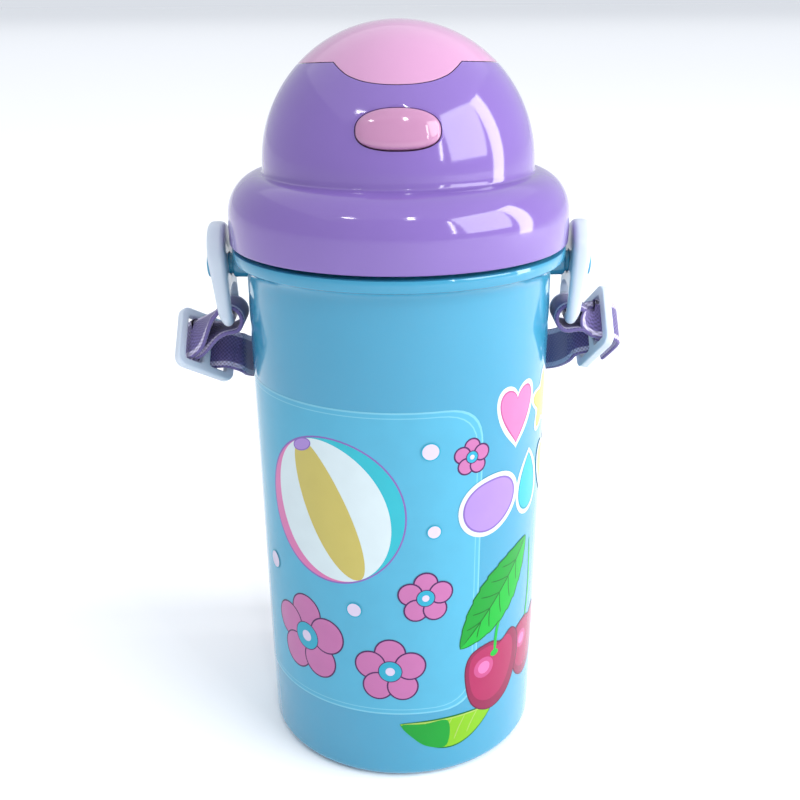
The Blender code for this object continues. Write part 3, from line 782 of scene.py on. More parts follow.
@dataclass
class Artwork:
    """A print of plain motifs laid on the bottle's wall: a beach ball, flowers, fruit, leaves and toy shapes."""

    inks: dict[Ink, bpy.types.Material]
    bm: bmesh.types.BMesh = field(default_factory=bmesh.new)
    order: list[Ink] = field(default_factory=lambda: list(Ink))
    facets: int = 192
    mean_r: float = 37.2
    lift: float = 0.03
    step: float = 0.003
    shift: float = 0.0
    level: int = 0

    def pitch(self) -> float:
        """Arc length of one facet of the bottle's wall."""
        return 2 * math.pi * self.mean_r / self.facets

    def on_wall(self, s: float, z: float, height: float) -> Vector:
        """Point over one flat facet of the wall.

        Args:
            s: Arc length round the wall.
            z: Height.
            height: Distance off the facet.

        Returns:
            The point, in millimetres.
        """
        first = math.floor(s / self.pitch() + 1e-4)
        share = s / self.pitch() - first
        radius = body_r(z) + height
        ends = []
        for facet in (first, first + 1):
            turn = 2 * math.pi * facet / self.facets
            ends.append(Vector((radius * math.sin(turn), -radius * math.cos(turn), z)))
        return ends[0].lerp(ends[1], share)

    def begin(self, level: int) -> None:
        """Starts a motif that lies over this many layers of ink."""
        self.level = level

    def lay(self, outline: Sequence[Point2], ink: Ink) -> None:
        """Lays one patch of ink over the ones before it.

        Args:
            outline: Closed outline in arc length and height.
            ink: Its ink.
        """
        self.level += 1
        height = self.lift + self.step * self.level
        corners = []
        for s, z in outline:
            if corners and math.dist((s + self.shift, z), corners[-1][:2]) < 0.01:
                continue
            corners.append((s + self.shift, z, height))
        face = self.bm.faces.new([self.bm.verts.new(corner) for corner in corners])
        face.material_index = self.order.index(ink)

    def fold(self) -> None:
        """Cuts every patch along the wall's facets and splits it into triangles."""
        reach = [vert.co.x for vert in self.bm.verts]
        first, last = math.ceil(min(reach) / self.pitch()), math.floor(max(reach) / self.pitch())
        for facet in range(first, last + 1):
            place = facet * self.pitch()
            faces = [
                face
                for face in self.bm.faces
                if min(v.co.x for v in face.verts) < place < max(v.co.x for v in face.verts)
            ]
            edges = {edge for face in faces for edge in face.edges}
            verts = {vert for face in faces for vert in face.verts}
            bmesh.ops.bisect_plane(
                self.bm,
                geom=list(verts) + list(edges) + faces,
                dist=1e-4,
                plane_co=(place, 0.0, 0.0),
                plane_no=(1.0, 0.0, 0.0),
            )
        bmesh.ops.triangulate(self.bm, faces=self.bm.faces)

    def oval(
        self, centre: Point2, radius: Point2, ink: Ink, tilt: float = 0.0, line: Ink | None = None, rim: float = 0.35
    ) -> None:
        """An ellipse, with a contour line under it where line is given.

        Args:
            centre: Its centre.
            radius: Its half axes.
            ink: Its ink.
            tilt: Its turn in degrees.
            line: Ink of the contour.
            rim: Width of the contour.
        """
        turn = math.radians(tilt)
        count = 24 if max(radius) < 3 else 64
        for grow, colour in ((rim, line), (0.0, ink)):
            if colour is None:
                continue
            outline = []
            for i in range(count):
                a = 2 * math.pi * i / count
                x, y = (radius[0] + grow) * math.cos(a), (radius[1] + grow) * math.sin(a)
                outline.append(turned(centre, x, y, turn))
            self.lay(outline, colour)

    def blob(self, knots: Sequence[Point2], ink: Ink, line: Ink | None = None, rim: float = 0.35) -> None:
        """A soft closed shape through knots, with a contour line under it where line is given.

        Args:
            knots: The points it passes.
            ink: Its ink.
            line: Ink of the contour.
            rim: Width of the contour.
        """
        path = [Vector((*knot, 0.0)) for knot in knots]
        loop = catmull([path[-1]] + path + [path[0], path[1]], 6)[6:-7]
        centre = sum(loop, Vector()) / len(loop)
        for grow, colour in ((rim, line), (0.0, ink)):
            if colour is None:
                continue
            outline = []
            for i, point in enumerate(loop):
                ahead = (loop[(i + 1) % len(loop)] - loop[i - 1]).normalized()
                out = Vector((ahead.y, -ahead.x, 0.0))
                if out.dot(point - centre) < 0:
                    out = -out
                outline.append(tuple((point + out * grow).xy))
            self.lay(outline, colour)

    def shape(self, polar: Callable[[float], Point2], centre: Point2, ink: Ink, grow: float = 0.0) -> None:
        """A patch whose outline is a function of angle.

        Args:
            polar: Point of the outline at an angle.
            centre: Where the outline's own centre lies.
            ink: Its ink.
            grow: How far the outline is grown.
        """
        points = []
        for i in range(72):
            x, y = polar(2 * math.pi * i / 72)
            length = math.hypot(x, y) or 1.0
            points.append((centre[0] + x * (1 + grow / length), centre[1] + y * (1 + grow / length)))
        self.lay(points, ink)

    def stroke(self, points: Sequence[Point2], width: float, ink: Ink) -> None:
        """A line of even width with narrow ends.

        Args:
            points: The points it passes.
            width: Its width.
            ink: Its ink.
        """
        path = [Vector((*point, 0.0)) for point in points]
        if len(path) > 2:
            path = catmull(path, 4)
        left, right = [], []
        for i, point in enumerate(path):
            ahead = (path[min(i + 1, len(path) - 1)] - path[max(i - 1, 0)]).normalized()
            half = width / 2 * (0.4 if i in (0, len(path) - 1) else 1.0)
            side = Vector((-ahead.y, ahead.x, 0.0)) * half
            left.append(tuple((point + side).xy))
            right.append(tuple((point - side).xy))
        self.lay(left + right[::-1], ink)

    def leaf(
        self,
        foot: Point2,
        tip: Point2,
        width: float,
        inks: tuple[Ink, Ink, Ink, Ink],
        belly: float = 0.5,
        teeth: int = 0,
    ) -> None:
        """A pointed leaf from foot to tip, with a midrib and side veins.

        Args:
            foot: Where the stalk joins.
            tip: The far point.
            width: Widest breadth.
            inks: Blade on the left, blade on the right, contour and vein.
            belly: Share of the breadth on the left of the midrib.
            teeth: Notches along each edge.
        """
        start, end = Vector(foot), Vector(tip)
        axis = end - start
        side = Vector((-axis.y, axis.x)).normalized()

        def edge(sign: int, share: float, grow: float) -> list[Point2]:
            """One edge of the blade: its side, its share of the breadth and how far it is grown."""
            points = []
            steps = 48 if teeth else 24
            for i in range(steps + 1):
                t = i / steps
                notch = 0.55 * ((t * teeth) % 1.0) * math.sin(math.pi * t) if teeth else 0.0
                reach = math.sin(math.pi * t) ** 0.8 * width * share + notch + grow * math.sin(math.pi * t) ** 0.3
                points.append(tuple(start + axis * (t + (t - 0.5) * grow * 0.03) + side * sign * reach))
            return points

        for grow, first, second in ((0.4, inks[2], inks[2]), (0.0, inks[0], inks[1])):
            spine = [tuple(start + axis * t) for t in (0.85, 0.6, 0.35, 0.1)]
            self.lay(edge(1, belly, grow) + spine, first)
            self.lay(edge(-1, 1 - belly, grow) + spine, second)
        self.stroke([tuple(start + axis * t) for t in (0.02, 0.3, 0.6, 0.96)], 0.42, inks[3])
        for t in (0.2, 0.34, 0.48, 0.62, 0.74):
            for sign, share in ((1, belly), (-1, 1 - belly)):
                if share < 0.15:
                    continue
                root = start + axis * t
                far = start + axis * (t + 0.12) + side * sign * width * share * 0.78 * math.sin(math.pi * (t + 0.12))
                self.stroke([tuple(root), tuple(root.lerp(far, 0.5) + axis * 0.008), tuple(far)], 0.3, inks[3])

    def film_panel(self) -> None:
        """Rounded clear-varnish panel behind the ball, with its pale edge line."""
        self.begin(0)
        frames = ((Ink.FILM_EDGE, 0.0), (Ink.FILM, 0.45), (Ink.FILM_EDGE, 1.35), (Ink.FILM, 1.6))
        for ink, inset in frames:
            low, high, left, right = 20.0 + inset, 103.0 - inset, -58.0 + inset, 20.4 - inset
            corners = [(-16.0, low), (right, low), (right, high), (left, high), (left, low), (-16.0, low)]
            self.lay(rounded(corners, 10.0, 8)[:-1], ink)

    def ball(self, centre: Point2, radius: float, tilt: float) -> None:
        """A beach ball of bowed panels in plain colours.

        Args:
            centre: Its centre.
            radius: Its radius.
            tilt: Turn of its poles in degrees.
        """
        turn = math.radians(tilt)
        self.oval(centre, (radius, radius), Ink.WHITE, 0, Ink.MOON_DARK, 0.45)
        seams = [math.radians(lean) for lean in (-90, -56, -20, 16, 52, 90)]
        panels = (Ink.HEART, Ink.WHITE, Ink.STAR, Ink.WHITE, Ink.DROP)
        for west, east, ink in zip(seams, seams[1:], panels):
            outline = []
            for lean, way in ((west, 1), (east, -1)):
                for k in range(-24, 25):
                    a = math.pi * way * k / 48
                    x, y = radius * math.sin(lean) * math.cos(a), radius * math.sin(a)
                    outline.append(turned(centre, x, y, turn))
            self.lay(outline[:-1], ink)
        pole = (centre[0] - 0.93 * radius * math.sin(turn), centre[1] + 0.93 * radius * math.cos(turn))
        self.oval(pole, (0.14 * radius, 0.07 * radius), Ink.MOON, tilt, Ink.MOON_DARK, 0.3)

    def beach(self) -> None:
        """The front motif: a beach ball over three plain flowers, with bubbles between."""
        self.ball((-18.0, 76.0), 19.0, 24.0)
        for centre, size in (((-27.0, 38.0), 2.6), ((-3.0, 33.0), 2.0), ((6.0, 54.0), 1.5)):
            self.flower(centre, size)
        for centre, radius in (((-12.0, 50.0), 1.8), ((-40.0, 55.0), 2.2), ((8.0, 72.0), 1.6), ((7.0, 93.0), 2.0)):
            self.oval(centre, (radius, radius), Ink.DOT, 0, Ink.SKY, 0.3)

    def flower(self, centre: Point2, size: float = 1.0) -> None:
        """Five round petals about a blue middle.

        Args:
            centre: Its centre.
            size: Its scale.
        """
        for k in range(5):
            a = math.radians(90 + 72 * k)
            spot = (centre[0] + 2.7 * size * math.cos(a), centre[1] + 2.7 * size * math.sin(a))
            self.oval(spot, (1.85 * size, 1.85 * size), Ink.PETAL, 0, Ink.SEAM, 0.42)
        self.oval(centre, (1.45 * size, 1.45 * size), Ink.SKY, 0, Ink.SEAM, 0.25)
        self.oval(centre, (0.6 * size, 0.6 * size), Ink.DOT)

    def toy(self, polar: Callable[[float], Point2], centre: Point2, inks: tuple[Ink, Ink]) -> None:
        """A flat toy shape with a white border and a darker edge."""
        for grow, ink in ((1.2, Ink.WHITE), (0.0, inks[1]), (-0.5, inks[0])):
            self.shape(polar, centre, ink, grow)

    def toys(self) -> None:
        """Heart, bean, drop and star in pastel inks."""

        def heart(a: float) -> Point2:
            """A heart, by angle."""
            y = 0.8125 * math.cos(a) - 0.3125 * math.cos(2 * a) - 0.125 * math.cos(3 * a)
            return (6.2 * math.sin(a) ** 3, 8.6 * y + 1.4)

        def drop(a: float) -> Point2:
            """A drop, by angle."""
            return (5.6 * math.sin(a) * math.sin(a / 2) ** 0.8, 7.8 * math.cos(a))

        def star(a: float) -> Point2:
            """A soft five-pointed star, by angle."""
            r = 6.0 + 1.5 * math.cos(5 * a)
            return (r * math.sin(a), r * math.cos(a))

        def bean(a: float) -> Point2:
            """A rounded bean, by angle."""
            r = 7.4 - 1.3 * math.cos(a - 0.7) + 0.9 * math.cos(2 * (a - 0.4))
            return (r * math.cos(a), r * math.sin(a))

        self.begin(6)
        self.toy(heart, (31.4, 97.2), (Ink.HEART, Ink.HEART_DARK))
        self.begin(6)
        self.toy(star, (46.6, 97.0), (Ink.STAR, Ink.LIME))
        self.begin(40)
        self.toy(bean, (24.4, 77.2), (Ink.MOON, Ink.MOON_DARK))
        self.begin(6)
        self.toy(drop, (38.0, 77.8), (Ink.DROP, Ink.DROP_DARK))
        self.begin(40)
        self.toy(heart, (51.0, 77.2), (Ink.STAR, Ink.LIME))

    def fruit(self) -> None:
        """Two cherries on stalks under a large leaf, and a lime leaf near the foot."""
        cherry = [(-7.4, 1.6), (-6.0, 6.4), (-1.0, 7.8), (2.4, 6.8), (6.0, 8.4)]
        cherry += [(8.6, 5.6), (8.4, -0.6), (5.0, -6.8), (-0.6, -9.0), (-5.6, -6.0)]
        leaf_inks = (Ink.LEAF, Ink.LEAF_SHADE, Ink.LEAF_DARK, Ink.LEAF_DARK)
        self.begin(6)
        self.stroke([(41.0, 34.6), (42.6, 46.0), (41.6, 60.0)], 1.0, Ink.LEAF)
        self.fruit_body(cherry, (42.0, 28.6), 1.05)
        self.fruit_body(cherry, (26.0, 27.0), 1.2)
        self.stroke([(26.4, 32.6), (27.8, 42.0), (36.0, 58.0)], 1.0, Ink.LEAF)
        self.oval((26.4, 32.8), (1.4, 1.0), Ink.LEAF)
        self.begin(20)
        self.leaf((38.6, 62.0), (15.4, 37.6), 13.0, leaf_inks, 0.5, 9)
        self.begin(6)
        self.leaf((26.4, 17.4), (-0.6, 17.0), 9.0, (Ink.LEAF_LIME, Ink.LEAF_LIME, Ink.LEAF_DARK, Ink.LEAF_VEIN), 0.97)
        self.blob([(-0.2, 16.6), (5.6, 16.7), (12.2, 16.7), (12.0, 9.2), (6.8, 9.6), (2.8, 12.6)], Ink.LEAF_SHADE)

    def fruit_body(self, knots: Sequence[Point2], centre: Point2, size: float) -> None:
        """One cherry with its shaded edge and its shine.

        Args:
            knots: The points of its outline about its centre.
            centre: Its centre.
            size: Its scale.
        """
        placed = [(centre[0] + s * size, centre[1] + z * size) for s, z in knots]
        inner = [(centre[0] - 0.6 + s * size * 0.82, centre[1] + 0.8 + z * size * 0.82) for s, z in knots]
        self.blob(placed, Ink.CHERRY_EDGE, Ink.CHERRY_DARK, 0.35)
        self.blob(inner, Ink.CHERRY)
        shine = (centre[0] - 2.6 * size, centre[1] + 2.2 * size)
        self.oval(shine, (2.7 * size, 2.5 * size), Ink.CHERRY_GLOW)
        self.oval(shine, (1.6 * size, 1.5 * size), Ink.CHERRY_SHINE)

    def smooth_over(self, mesh: bpy.types.Mesh) -> None:
        """Gives the print the wall's own round normals."""
        fall = (Dim.RIM_R - Dim.BASE_R) / Dim.TAPER_TOP
        normals = []
        for vert in mesh.vertices:
            out = Vector((vert.co.x, vert.co.y, 0.0)).normalized()
            normals.append(Vector((out.x, out.y, -fall)).normalized())
        smooth_mesh(mesh)
        mesh.normals_split_custom_set_from_vertices(normals)

    def build(self) -> bpy.types.Object:
        """Lays every motif, front and back.

        Returns:
            The print, one mesh with a material for each ink.
        """
        self.film_panel()
        self.begin(6)
        self.beach()
        self.begin(6)
        self.flower((17.4, 90.2))
        self.toys()
        self.fruit()
        self.shift = math.pi * self.mean_r - 6.0
        self.begin(6)
        self.flower((-26.0, 88.0), 1.4)
        self.flower((-30.0, 40.0), 1.2)
        self.toys()
        self.fruit()
        self.fold()
        for vert in self.bm.verts:
            vert.co = self.on_wall(*vert.co) * MM
        for face in self.bm.faces:
            face.normal_update()
            middle = face.calc_center_median()
            if face.normal.dot(Vector((middle.x, middle.y, 0.0))) < 0:
                face.normal_flip()
        mesh = bpy.data.meshes.new("print_artwork")
        self.bm.to_mesh(mesh)
        self.bm.free()
        self.smooth_over(mesh)
        for ink in self.order:
            mesh.materials.append(self.inks[ink])
        return finish_piece(add_object("print_artwork", mesh), "bottle", ["print_film"])


def dome_point(radius: float, degrees: float) -> Point2:
    """(r, z) on a sphere about the dome's centre."""
    turn = math.radians(degrees)
    return (radius * math.cos(turn), Dim.DOME_Z + radius * math.sin(turn))


def parting_z(y: float) -> float:
    """Height of the tilted parting plane between dome and lid."""
    return Dim.PART_Z + Dim.PART_SLOPE * y


def lobe_outline(inset: float) -> list[Point2]:
    """Front tongue of the lid.

    Args:
        inset: How far the outline is shrunk.

    Returns:
        The outline in X and Z.
    """
    knots = [(0.0, 174.3), (4.0, 174.42), (8.0, 174.95), (11.3, 176.1)]
    knots += [(13.2, 177.5), (14.6, 178.9), (16.6, 180.2), (17.4, 184.0)]
    smooth = rounded(knots, 1.6, 4)
    right = [(x - inset * min(1.0, x / 8.0), z + inset * (1.0 - 0.3 * x / 15.6)) for x, z in smooth]
    return right + [(-x, z) for x, z in reversed(right[1:])]


def above_parting(inset: float) -> bmesh.types.BMesh:
    """Space above the parting plane.

    Args:
        inset: How far it is raised.

    Returns:
        The solid, in millimetres.
    """
    reach = 45.0
    outline = [(-reach, parting_z(-reach) + inset), (reach, parting_z(reach) + inset), (reach, 200.0), (-reach, 200.0)]
    return prism(outline, along_x, -reach, reach)


def tongue_space(inset: float) -> bmesh.types.BMesh:
    """Space of the front tongue."""
    return prism(lobe_outline(inset), along_y, -45.0, -12.0)


@dataclass
class CapShell:
    """Purple collar and dome in one moulding, open at the top for the lid and at the front for the button."""

    material: bpy.types.Material
    segments: int = 160

    def profile(self) -> list[Point2]:
        """Closed section of the collar and the dome."""
        rise = Dim.CREASE_Z - Dim.COLLAR_SIDE_TOP
        outer = arc((Dim.COLLAR_R - 0.7, Dim.COLLAR_BOTTOM + 0.7), (0.7, 0.7), -90, 0, 5)
        outer += arc((Dim.DOME_R, Dim.COLLAR_SIDE_TOP), (Dim.COLLAR_R - Dim.DOME_R, rise), 0, 85, 20)
        outer += [(Dim.DOME_R + 0.42, 152.72), (Dim.DOME_R + 0.18, 152.86), (Dim.DOME_R + 0.03, 153.15)]
        outer += [dome_point(Dim.DOME_R, degrees) for degrees in range(0, 87, 2)]
        inner = [dome_point(Dim.DOME_IN_R, degrees) for degrees in range(86, -1, -4)]
        inner += [(Dim.DOME_IN_R, 150.5), (Dim.DOME_R, 150.5)]
        inner += arc((Dim.DOME_R, Dim.COLLAR_SIDE_TOP), (6.5, 7.9), 78, 0, 8)
        inner += [(39.65, 136.2), (40.1, Dim.COLLAR_BOTTOM)]
        return outer + inner

    def build(self) -> bpy.types.Object:
        """Makes the piece.

        Returns:
            The cap shell.
        """
        shell = to_object("cap_moulded", revolve(self.profile(), self.segments, True), self.material, 30)
        carve(shell, above_parting(0.0), Cut.TAKE)
        carve(shell, tongue_space(0.0), Cut.TAKE)
        carve(shell, ButtonShape().opening(), Cut.TAKE)
        carve(shell, cylinder_x(3.0, -5.9, 5.9, Dim.HINGE), Cut.TAKE)
        for side in (-1, 1):
            low, high = sorted((side * 6.2, side * 9.2))
            carve(shell, cylinder_x(Dim.KNUCKLE_R, low, high, Dim.HINGE), Cut.ADD)
            carve(shell, box((low, 24.6, 172.9), (high, Dim.HINGE[0], 174.9)), Cut.ADD)
        carve(shell, cylinder_x(Dim.PIN_HOLE_R, -10.0, 10.0, Dim.HINGE, 24), Cut.TAKE)
        soften(shell, 0.22, 48)
        return finish_piece(shell, "cap", ["cap_shell"])


@dataclass
class FlipLid:
    """Pink lid: a slice of the dome's sphere with a tongue at the front and two hinge knuckles."""

    material: bpy.types.Material
    segments: int = 160

    def build(self) -> bpy.types.Object:
        """Makes the piece.

        Returns:
            The lid.
        """
        outer = [dome_point(Dim.DOME_R, degrees) for degrees in range(32, 90, 2)]
        inner = [dome_point(Dim.DOME_R - Dim.LID_WALL, degrees) for degrees in range(88, 31, -4)]
        profile = [(0.0, Dim.DOME_Z + Dim.DOME_R - Dim.LID_WALL)] + inner + outer + [(0.0, Dim.DOME_Z + Dim.DOME_R)]
        lid = to_object("lid_moulded", revolve(profile, self.segments, False), self.material)
        region = to_object("tool_region", above_parting(Dim.LID_GAP), None)
        carve(region, tongue_space(Dim.LID_GAP), Cut.ADD)
        combine(lid, region, Cut.KEEP)
        for side in (-1, 1):
            low, high = sorted((side * 3.1, side * 5.6))
            carve(lid, cylinder_x(Dim.KNUCKLE_R, low, high, Dim.HINGE), Cut.ADD)
            carve(lid, box((low, 22.9, 176.1), (high, Dim.HINGE[0], 177.9)), Cut.ADD)
        carve(lid, box((-3.5, -23.2, 171.2), (3.5, -21.7, 177.0)), Cut.ADD)
        carve(lid, cylinder_x(Dim.PIN_HOLE_R, -7.0, 7.0, Dim.HINGE, 24), Cut.TAKE)
        soften(lid, 0.3, 48)
        return finish_piece(lid, "lid", ["lid_shell"])


@dataclass(frozen=True)
class ButtonShape:
    """The push button's outline and frame on the dome's front."""

    tilt: float = math.radians(19.66)
    half_width: float = 9.25
    up: float = 4.7
    down: float = 4.3

    def axes(self) -> tuple[Vector, Vector, Vector]:
        """Centre on the dome, outward normal and upward tangent."""
        normal = Vector((0.0, -math.cos(self.tilt), math.sin(self.tilt)))
        rise = Vector((0.0, math.sin(self.tilt), math.cos(self.tilt)))
        return Vector((0.0, 0.0, Dim.DOME_Z)) + normal * Dim.DOME_R, normal, rise

    def outline(self, grow: Sequence[float], count: int) -> list[Point2]:
        """Oval with a flatter lower edge.

        Args:
            grow: How far it is grown sideways, upwards and downwards.
            count: Number of points.

        Returns:
            The outline.
        """
        points = []
        for i in range(count):
            turn = 2 * math.pi * i / count
            x = math.copysign(abs(math.cos(turn)) ** 0.86, math.cos(turn)) * (self.half_width + grow[0])
            lift = math.copysign(abs(math.sin(turn)) ** 0.80, math.sin(turn))
            points.append((x, lift * (self.up + grow[1] if lift > 0 else self.down + grow[2])))
        return points

    def ring(self, outline: Sequence[Point2], scale: float, height: float, follow: float) -> Ring:
        """The outline at one height over the dome.

        Args:
            outline: The outline.
            scale: Its scale.
            height: Its height along the normal.
            follow: Share of the dome's curve that it follows.

        Returns:
            The points, in millimetres.
        """
        centre, normal, rise = self.axes()
        ring = []
        for x, lift in outline:
            a, b = x * scale, lift * scale
            out = height - follow * (a * a + b * b) / (2 * Dim.DOME_R)
            ring.append(centre + Vector((a, 0.0, 0.0)) + rise * b + normal * out)
        return ring

    def opening(self) -> bmesh.types.BMesh:
        """The hole's solid through the dome's wall."""
        outline = self.outline((0.2, 0.2, 0.4), 72)
        return loft([self.ring(outline, 1.0, height, 0.0) for height in (-6.0, 4.0)])


@dataclass
class PushButton:
    """Pink oval button with a soft crown."""

    material: bpy.types.Material
    shape: ButtonShape = field(default_factory=ButtonShape)

    def build(self) -> bpy.types.Object:
        """Makes the piece.

        Returns:
            The button.
        """
        outline = self.shape.outline((0.0, 0.0, 0.0), 96)
        levels = [(1.15, -6.1, 0.0), (1.15, -4.9, 0.0), (1.0, -4.9, 0.0), (1.0, -0.6, 1.0), (1.0, 0.05, 1.0)]
        levels += [(0.992, 0.35, 1.0), (0.972, 0.6, 1.0), (0.94, 0.82, 1.0), (0.89, 1.0, 1.0), (0.81, 1.16, 1.0)]
        levels += [(0.7, 1.28, 1.0), (0.56, 1.37, 1.0), (0.4, 1.42, 1.0), (0.22, 1.45, 1.0), (0.08, 1.46, 1.0)]
        body = loft([self.shape.ring(outline, *level) for level in levels])
        button = to_object("button_moulded", body, self.material, 50)
        centre, normal, rise = self.shape.axes()
        corners = ((-3.0, 4.0), (3.0, 4.0), (3.0, 6.8), (-3.0, 6.8))
        arm = [centre + Vector((x, 0.0, 0.0)) + rise * b for x, b in corners]
        carve(button, loft([[point + normal * depth for point in arm] for depth in (-5.9, -4.95)]), Cut.ADD)
        smooth_mesh(button.data, 50)
        return finish_piece(button, "button", ["button"])


@dataclass
class Spout:
    """Soft mouthpiece on trunnions, lying forward under the lid."""

    material: bpy.types.Material
    lean: float = math.radians(66.0)

    def build(self) -> bpy.types.Object:
        """Makes the piece.

        Returns:
            The spout.
        """
        spout = to_object("spout_silicone", cylinder_x(3.6, -3.6, 3.6, Dim.SPOUT), self.material)
        carve(spout, cylinder_x(1.15, -5.6, 5.6, Dim.SPOUT, 24), Cut.ADD)
        tilt = Matrix.Translation((0.0, *Dim.SPOUT)) @ Matrix.Rotation(self.lean, 4, "X")
        profile = [(0.0, 0.5), (3.4, 0.5), (3.4, 22.2), (3.55, 22.9), (3.95, 23.5), (4.1, 24.3), (4.1, 25.6)]
        stem = revolve(profile + [(3.85, 26.5), (3.2, 27.0), (0.0, 27.0)], 64, False)
        bmesh.ops.transform(stem, matrix=tilt, verts=stem.verts)
        carve(spout, stem, Cut.ADD)
        channel = revolve([(0.0, -6.0), (2.1, -6.0), (2.1, 30.0), (0.0, 30.0)], 32, False)
        bmesh.ops.transform(channel, matrix=tilt, verts=channel.verts)
        carve(spout, channel, Cut.TAKE)
        soften(spout, 0.25, 48)
        return finish_piece(spout, "spout", ["spout"])


@dataclass
class StrapRing:
    """White ring that swings on a lug, thick at the top and narrow at its foot bar."""

    name: str
    side: int
    material: bpy.types.Material

    def outline(self, half: float, low: float, high: float, middle: float, corner: float) -> list[Point2]:
        """Rounded outline with a half-round top.

        Args:
            half: Half its width.
            low: Its lowest height.
            high: Its highest height.
            middle: Where the half-round top starts.
            corner: Radius of the lower corners.

        Returns:
            The outline in Y and Z.
        """
        top = arc((0.0, middle), (half, high - middle), 0, 180, 32)
        left = arc((-half + corner, low + corner), (corner, corner), 180, 270, 8)
        right = arc((half - corner, low + corner), (corner, corner), 270, 360, 8)
        return top + left + right

    def level(self, share: float, inset: float, depth: float) -> list[tuple[float, float, float]]:
        """One level of the ring's body.

        Args:
            share: 0 on the inner face and 1 on the outer face.
            inset: How far the outline is drawn in, in millimetres.
            depth: How far the level lies inside its face, in millimetres.

        Returns:
            The level's points.
        """
        ring = []
        for y, z in self.outline(8.4 - inset, 114.5 + inset, 140.0 - inset, 131.6, 3.2 - inset * 0.6):
            thick = 2.8 + 1.5 * min(1.0, max(0.0, (z - 116.0) / 6.0))
            x = Dim.RING_X - Dim.RING_INSET + (z - Dim.LUG_Z) * Dim.RING_LEAN + share * thick
            ring.append((self.side * (x + (depth if share == 0.0 else -depth)), y, z))
        return ring

    def build(self) -> bpy.types.Object:
        """Makes the piece.

        Returns:
            The ring.
        """
        curve = [(1.3, 0.0), (0.82, 0.1), (0.4, 0.4), (0.12, 0.82), (0.0, 1.3)]
        inner = [self.level(0.0, inset, depth) for inset, depth in curve]
        outer = [self.level(1.0, inset, depth) for inset, depth in reversed(curve)]
        body = to_object(self.name + "_moulded", loft(inner + outer), self.material)
        reach = sorted((self.side * 36.0, self.side * 52.0))
        slot = self.outline(5.95, 117.3, 124.4, 121.4, 1.4)
        carve(body, prism(slot, along_x, reach[0], reach[1]), Cut.TAKE)
        carve(body, cylinder_x(3.05, reach[0], reach[1], (0.0, Dim.LUG_Z)), Cut.TAKE)
        soften(body, 0.3, 48, 3)
        return finish_piece(body, "strap", [self.name])


@dataclass
class StrapSide:
    """Local frame of one slide adjuster: u towards the bottle, v across the webbing, n towards the ring."""

    side: int
    centre: Vector
    swing: float
    slack: float
    lean: float = math.radians(45)

    def __post_init__(self) -> None:
        """Works out the three axes."""
        turn = math.radians(self.swing)
        self.u = Vector(
            (-self.side * math.cos(turn), math.sin(turn) * math.cos(self.lean), -math.sin(turn) * math.sin(self.lean))
        )
        self.v = Vector((0.0, math.sin(self.lean), math.cos(self.lean)))
        self.n = self.u.cross(self.v) * -self.side

    def at(self, u: float, n: float, v: float = 0.0) -> Vector:
        """Point in the slide's frame, in millimetres."""
        return self.centre + self.u * u + self.n * n + self.v * v


@dataclass
class SlideAdjuster:
    """White three-bar slide that the webbing threads through."""

    name: str
    strap: StrapSide
    material: bpy.types.Material
    bar: float = 2.4
    slot: float = 5.0
    width: float = 17.0

    def build(self) -> bpy.types.Object:
        """Makes the piece.

        Returns:
            The slide.
        """
        half_u, half_v, corner = 1.5 * self.bar + self.slot, self.width / 2, 2.6
        outline: list[Point2] = []
        for cu, cv, start in ((1, 1, 0), (-1, 1, 90), (-1, -1, 180), (1, -1, 270)):
            outline += arc((cu * (half_u - corner), cv * (half_v - corner)), (corner, corner), start, start + 90, 8)
        body = to_object(
            self.name + "_moulded",
            loft([[self.strap.at(u, n, v) for u, v in outline] for n in (-1.1, 1.1)]),
            self.material,
        )
        for side in (-1, 1):
            middle = side * (self.bar + self.slot) / 2
            reach = half_v - self.bar
            corners = rounded(
                [(0.0, -reach), (self.slot / 2, -reach), (self.slot / 2, reach), (-self.slot / 2, reach)]
                + [(-self.slot / 2, -reach), (0.0, -reach)],
                0.8,
                3,
            )[:-1]
            hole = loft([[self.strap.at(middle + u, n, v) for u, v in corners] for n in (-2.5, 2.5)])
            carve(body, hole, Cut.TAKE)
        soften(body, 0.75, 40, 5)
        return finish_piece(body, "strap", [self.name])


